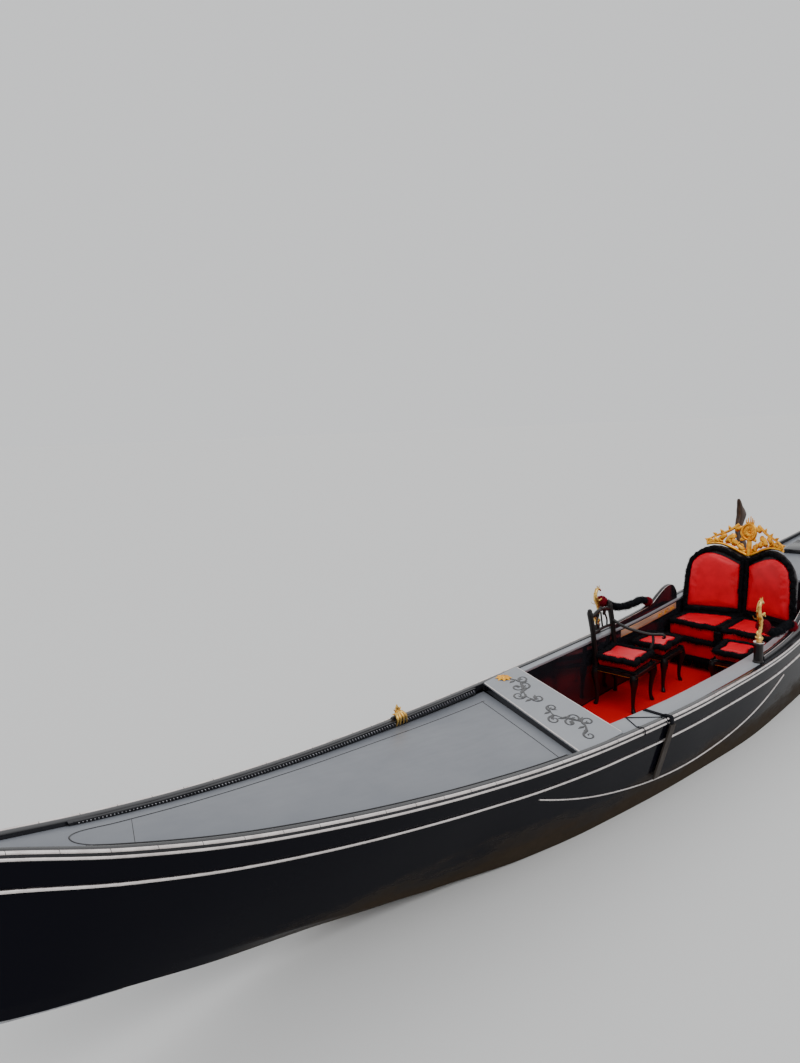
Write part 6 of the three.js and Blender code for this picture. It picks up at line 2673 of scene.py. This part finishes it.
@dataclass
class Fittings:
    """The claw, the lashings over the side deck, the fender strip and its strap."""

    claw: float = 2.690
    strap: float = 1.495
    talon_radii: Sequence[float] = (0.009, 0.0105, 0.0095, 0.008, 0.006, 0.0015)
    finial_radii: Sequence[float] = (0.016, 0.011, 0.015, 0.009, 0.011, 0.002)
    # Each leaf's distance ahead, rise, direction and length.
    claw_leaves: Sequence[tuple[float, float, float, float]] = (
        (0.014, 0.016, 0.3, 0.034), (0.010, 0.028, 0.9, 0.034), (0.004, 0.044, 0.5, 0.022),
    )

    def build(self, frame: dict) -> None:
        """Builds the fittings.
        """
        self.deck_claw()
        self.lashings()
        reworked(frame, "fender_strip", Finishes.RUBBER, 0.005)
        reworked(frame, "fender_strap", Finishes.ROPE, 0.001)

    def at(self, ahead: float, rise: float, out: float = 0.0) -> Vector:
        """A point by its distances ahead, above and outboard of the claw's foot."""
        y = -(LINES.rail_inner(Side.STARBOARD, self.claw) + 0.018)
        return Vector((self.claw + ahead, y - out, LINES.sheer(self.claw) + CLEAR + rise))

    def deck_claw(self) -> None:
        """A gilt claw with leaves and a finial, on a black mount."""
        plan = ((-1, -0.6), (-0.8, -1), (0.8, -1), (1, -0.6), (1, 0.6), (0.8, 1), (-0.8, 1), (-1, 0.6))
        rows = [
            [self.at(a * wide, rise, b * 0.011 * wide / 0.05) for a, b in plan]
            for rise, wide in ((0.0, 0.052), (0.004, 0.054), (0.008, 0.050), (0.012, 0.044))
        ]
        dressed(smooth(net("deck_claw_mount", rows), 40), Finishes.LACQUER)
        parts = []
        for spread_out in (-0.034, -0.012, 0.012, 0.034):
            path = smooth_path([self.at(spread_out * share, rise, out) for share, rise, out in (
                (0.3, 0.016, 0.004), (0.6, 0.030, -0.012), (0.85, 0.020, -0.032), (1.0, -0.004, -0.040),
                (1.15, -0.026, -0.036), (1.2, -0.040, -0.030))], 5)
            knuckles = 1 + 0.16 * np.sin(np.linspace(0, 5 * math.pi, len(path)))
            parts.append(tube("talon", path, list(spread(self.talon_radii, len(path)) * knuckles), 10))
        for sign in (-1, 1):
            for ahead, rise, lean, size in self.claw_leaves:
                root = self.at(sign * ahead, rise)
                tip = self.at(sign * (ahead + size * math.cos(lean)), rise + size * math.sin(lean))
                path = [root, (root + tip) / 2 + 0.004 * UP, tip]
                parts.append(tube("leaf", path, [0.003, 0.0085, 0.0012], 8, 0.5))
        path = smooth_path([self.at(ahead, rise) for ahead, rise in (
            (0, 0.006), (0, 0.020), (0, 0.034), (0, 0.046), (0.002, 0.060), (0.003, 0.080))], 3)
        parts.append(tube("finial", path, list(spread(self.finial_radii, len(path))), 12))
        finished("deck_claw_cast", parts, Finishes.BRASS, ["deck_claw"])

    def lashings(self) -> None:
        """Thin cords drawn tight over the port side deck on both sides of the fender's strap."""
        parts = []
        apex = self.strap + 0.19
        inside = LINES.rail(Side.PORT, apex) - 0.172
        for edge in (self.strap + 0.27, self.strap + 0.04):
            inner, rail = LINES.rail_inner(Side.PORT, edge), LINES.rail(Side.PORT, edge)
            top, high = LINES.sheer(edge), LINES.sheer(apex)
            points = [(apex, inside - 0.010, high - 0.020), (apex, inside - 0.004, high - 0.005)]
            for share in np.linspace(0, 1, 8):
                along = apex + (edge - apex) * share
                points.append((along, inside + (inner - 0.004 - inside) * share, LINES.sheer(along) - 0.003))
            points += [(edge, inner + 0.006, top + 0.003), (edge, rail - 0.008, top + 0.0045),
                       (edge, rail + 0.003, top - 0.010), (edge, rail + 0.002, top - 0.038)]
            parts.append(tube("lashing", points, 0.0030, 8))
        finished("deck_lashings", parts, Finishes.ROPE)


@dataclass(frozen=True)
class Rowlock:
    """The carved rowlock: its crooked body and the shank that stands in the block."""

    x: float = -2.400
    y: float = -0.385
    over_block: float = 0.048
    shank: tuple[float, float, float] = (0.056, 0.040, 0.060)
    # Heights over the block, shifts forward and to port, and half widths along and across the boat.
    levels: Sequence[tuple[float, float, float, float, float]] = (
        (0.0003, 0.0, 0.0, 0.052, 0.027), (0.060, 0.0, -0.008, 0.056, 0.030),
        (0.130, 0.010, -0.026, 0.064, 0.033), (0.200, 0.014, -0.048, 0.066, 0.034),
        (0.260, 0.004, -0.070, 0.056, 0.032), (0.300, -0.006, -0.084, 0.052, 0.029),
        (0.373, -0.056, -0.092, 0.070, 0.034), (0.443, -0.104, -0.096, 0.084, 0.038),
        (0.500, -0.086, -0.098, 0.066, 0.034), (0.545, -0.060, -0.098, 0.040, 0.026),
        (0.600, -0.030, -0.096, 0.027, 0.019), (0.630, -0.014, -0.095, 0.014, 0.011),
    )

    def oval(self, middle: Vector, size: Vector, block: float) -> list[tuple[float, float, float]]:
        """The squarish oval section at one level.

        Args:
            middle: its height over the block and its shifts forward and to port.
            size: its height again and its two half widths.
            block: the height of the block's top.

        Returns:
            Its points.
        """
        ring = []
        for angle in round_turn(28):
            c, s = math.cos(angle), math.sin(angle)
            x = self.x + middle.y + size.y * abs(c) ** 0.8 * (1 if c > 0 else -1)
            y = self.y + middle.z + size.z * abs(s) ** 0.8 * (1 if s > 0 else -1)
            ring.append((x, y, block + middle.x))
        return ring

    def build(self) -> None:
        """Builds the rowlock on its own body."""
        block = LINES.sheer(self.x) + self.over_block
        middles = smooth_path([(z, x, y) for z, x, y, _, _ in self.levels], 6)
        sizes = smooth_path([(z, a, b) for z, _, _, a, b in self.levels], 6)
        rows = [self.oval(middle, size, block) for middle, size in zip(middles, sizes)]
        last = rows[-1]
        cx, cy, _ = (sum(axis) / len(last) for axis in zip(*last))
        for share in (0.8, 0.4):
            rows.append([(cx + (x - cx) * share, cy + (y - cy) * share, z) for x, y, z in last])
        body = net("body", rows)
        long, wide, deep = self.shank
        bpy.ops.mesh.primitive_cube_add(size=1.0, location=(self.x, self.y, block - deep / 2 + 0.005))
        bpy.ops.transform.resize(value=(long, wide, deep + 0.010))
        parts = [body, bevelled(settled(), 0.003)]
        dressed(smooth(joined("rowlock_carved", parts), 40), Finishes.WALNUT, ["rowlock"], ROWLOCK)


@dataclass(frozen=True)
class Carpet:
    """The red carpet on the floorboards."""

    rounding: float = 0.0025

    def build(self, frame: dict) -> None:
        piece = reworked(frame, "carpet", Finishes.CARPET, self.rounding, "carpet_pile", 3, 50)


def main() -> None:
    """Builds the scene, class by class."""
    logging.basicConfig(level=logging.INFO, format="%(name)s: %(message)s")
    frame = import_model()
    Viewpoint().build()
    Studio().build()
    Hull().build(frame)
    for horse in (
        SeaHorse(Side.PORT, x=0.150, inboard=0.076, foot=0.820, post=0.028, drop=0.006),
        SeaHorse(Side.STARBOARD, x=0.268, inboard=0.023, foot=0.745, post=0.021, drop=0.0),
    ):
        HandRope(horse.side, horse, board_top=0.050).build()
        horse.build()
    Carpentry().build(frame)
    Carpet().build(frame)
    Foredeck().build(frame)
    Thwart().build()
    for side, deck_width in ((Side.PORT, 0.180), (Side.STARBOARD, 0.105)):
        ArmrestBoard(side).build()
        CoamingTrim(side, deck_width).build()
    Fittings().build(frame)
    Rowlock().build()
    sofa = Sofa()
    sofa.build(frame)
    Crest(sofa).build()
    Armchair("armchair", x=0.340, y=-0.245, turned=0.08, half=0.190, depth=0.186, seat=0.440, pad=0.095,
             leg=0.170, leg_depth=0.158).build()
    Chair("stool_starboard", x=-0.220, y=-0.255, turned=0.05, half=0.190, depth=0.160, seat=0.420, pad=0.090,
          leg=0.166, leg_depth=0.136).build()
    Chair("stool_port", x=-0.475, y=0.310, turned=0.08, half=0.185, depth=0.150, seat=0.400, pad=0.088,
          leg=0.161, leg_depth=0.126).build()


if __name__ == "__main__":
    main()
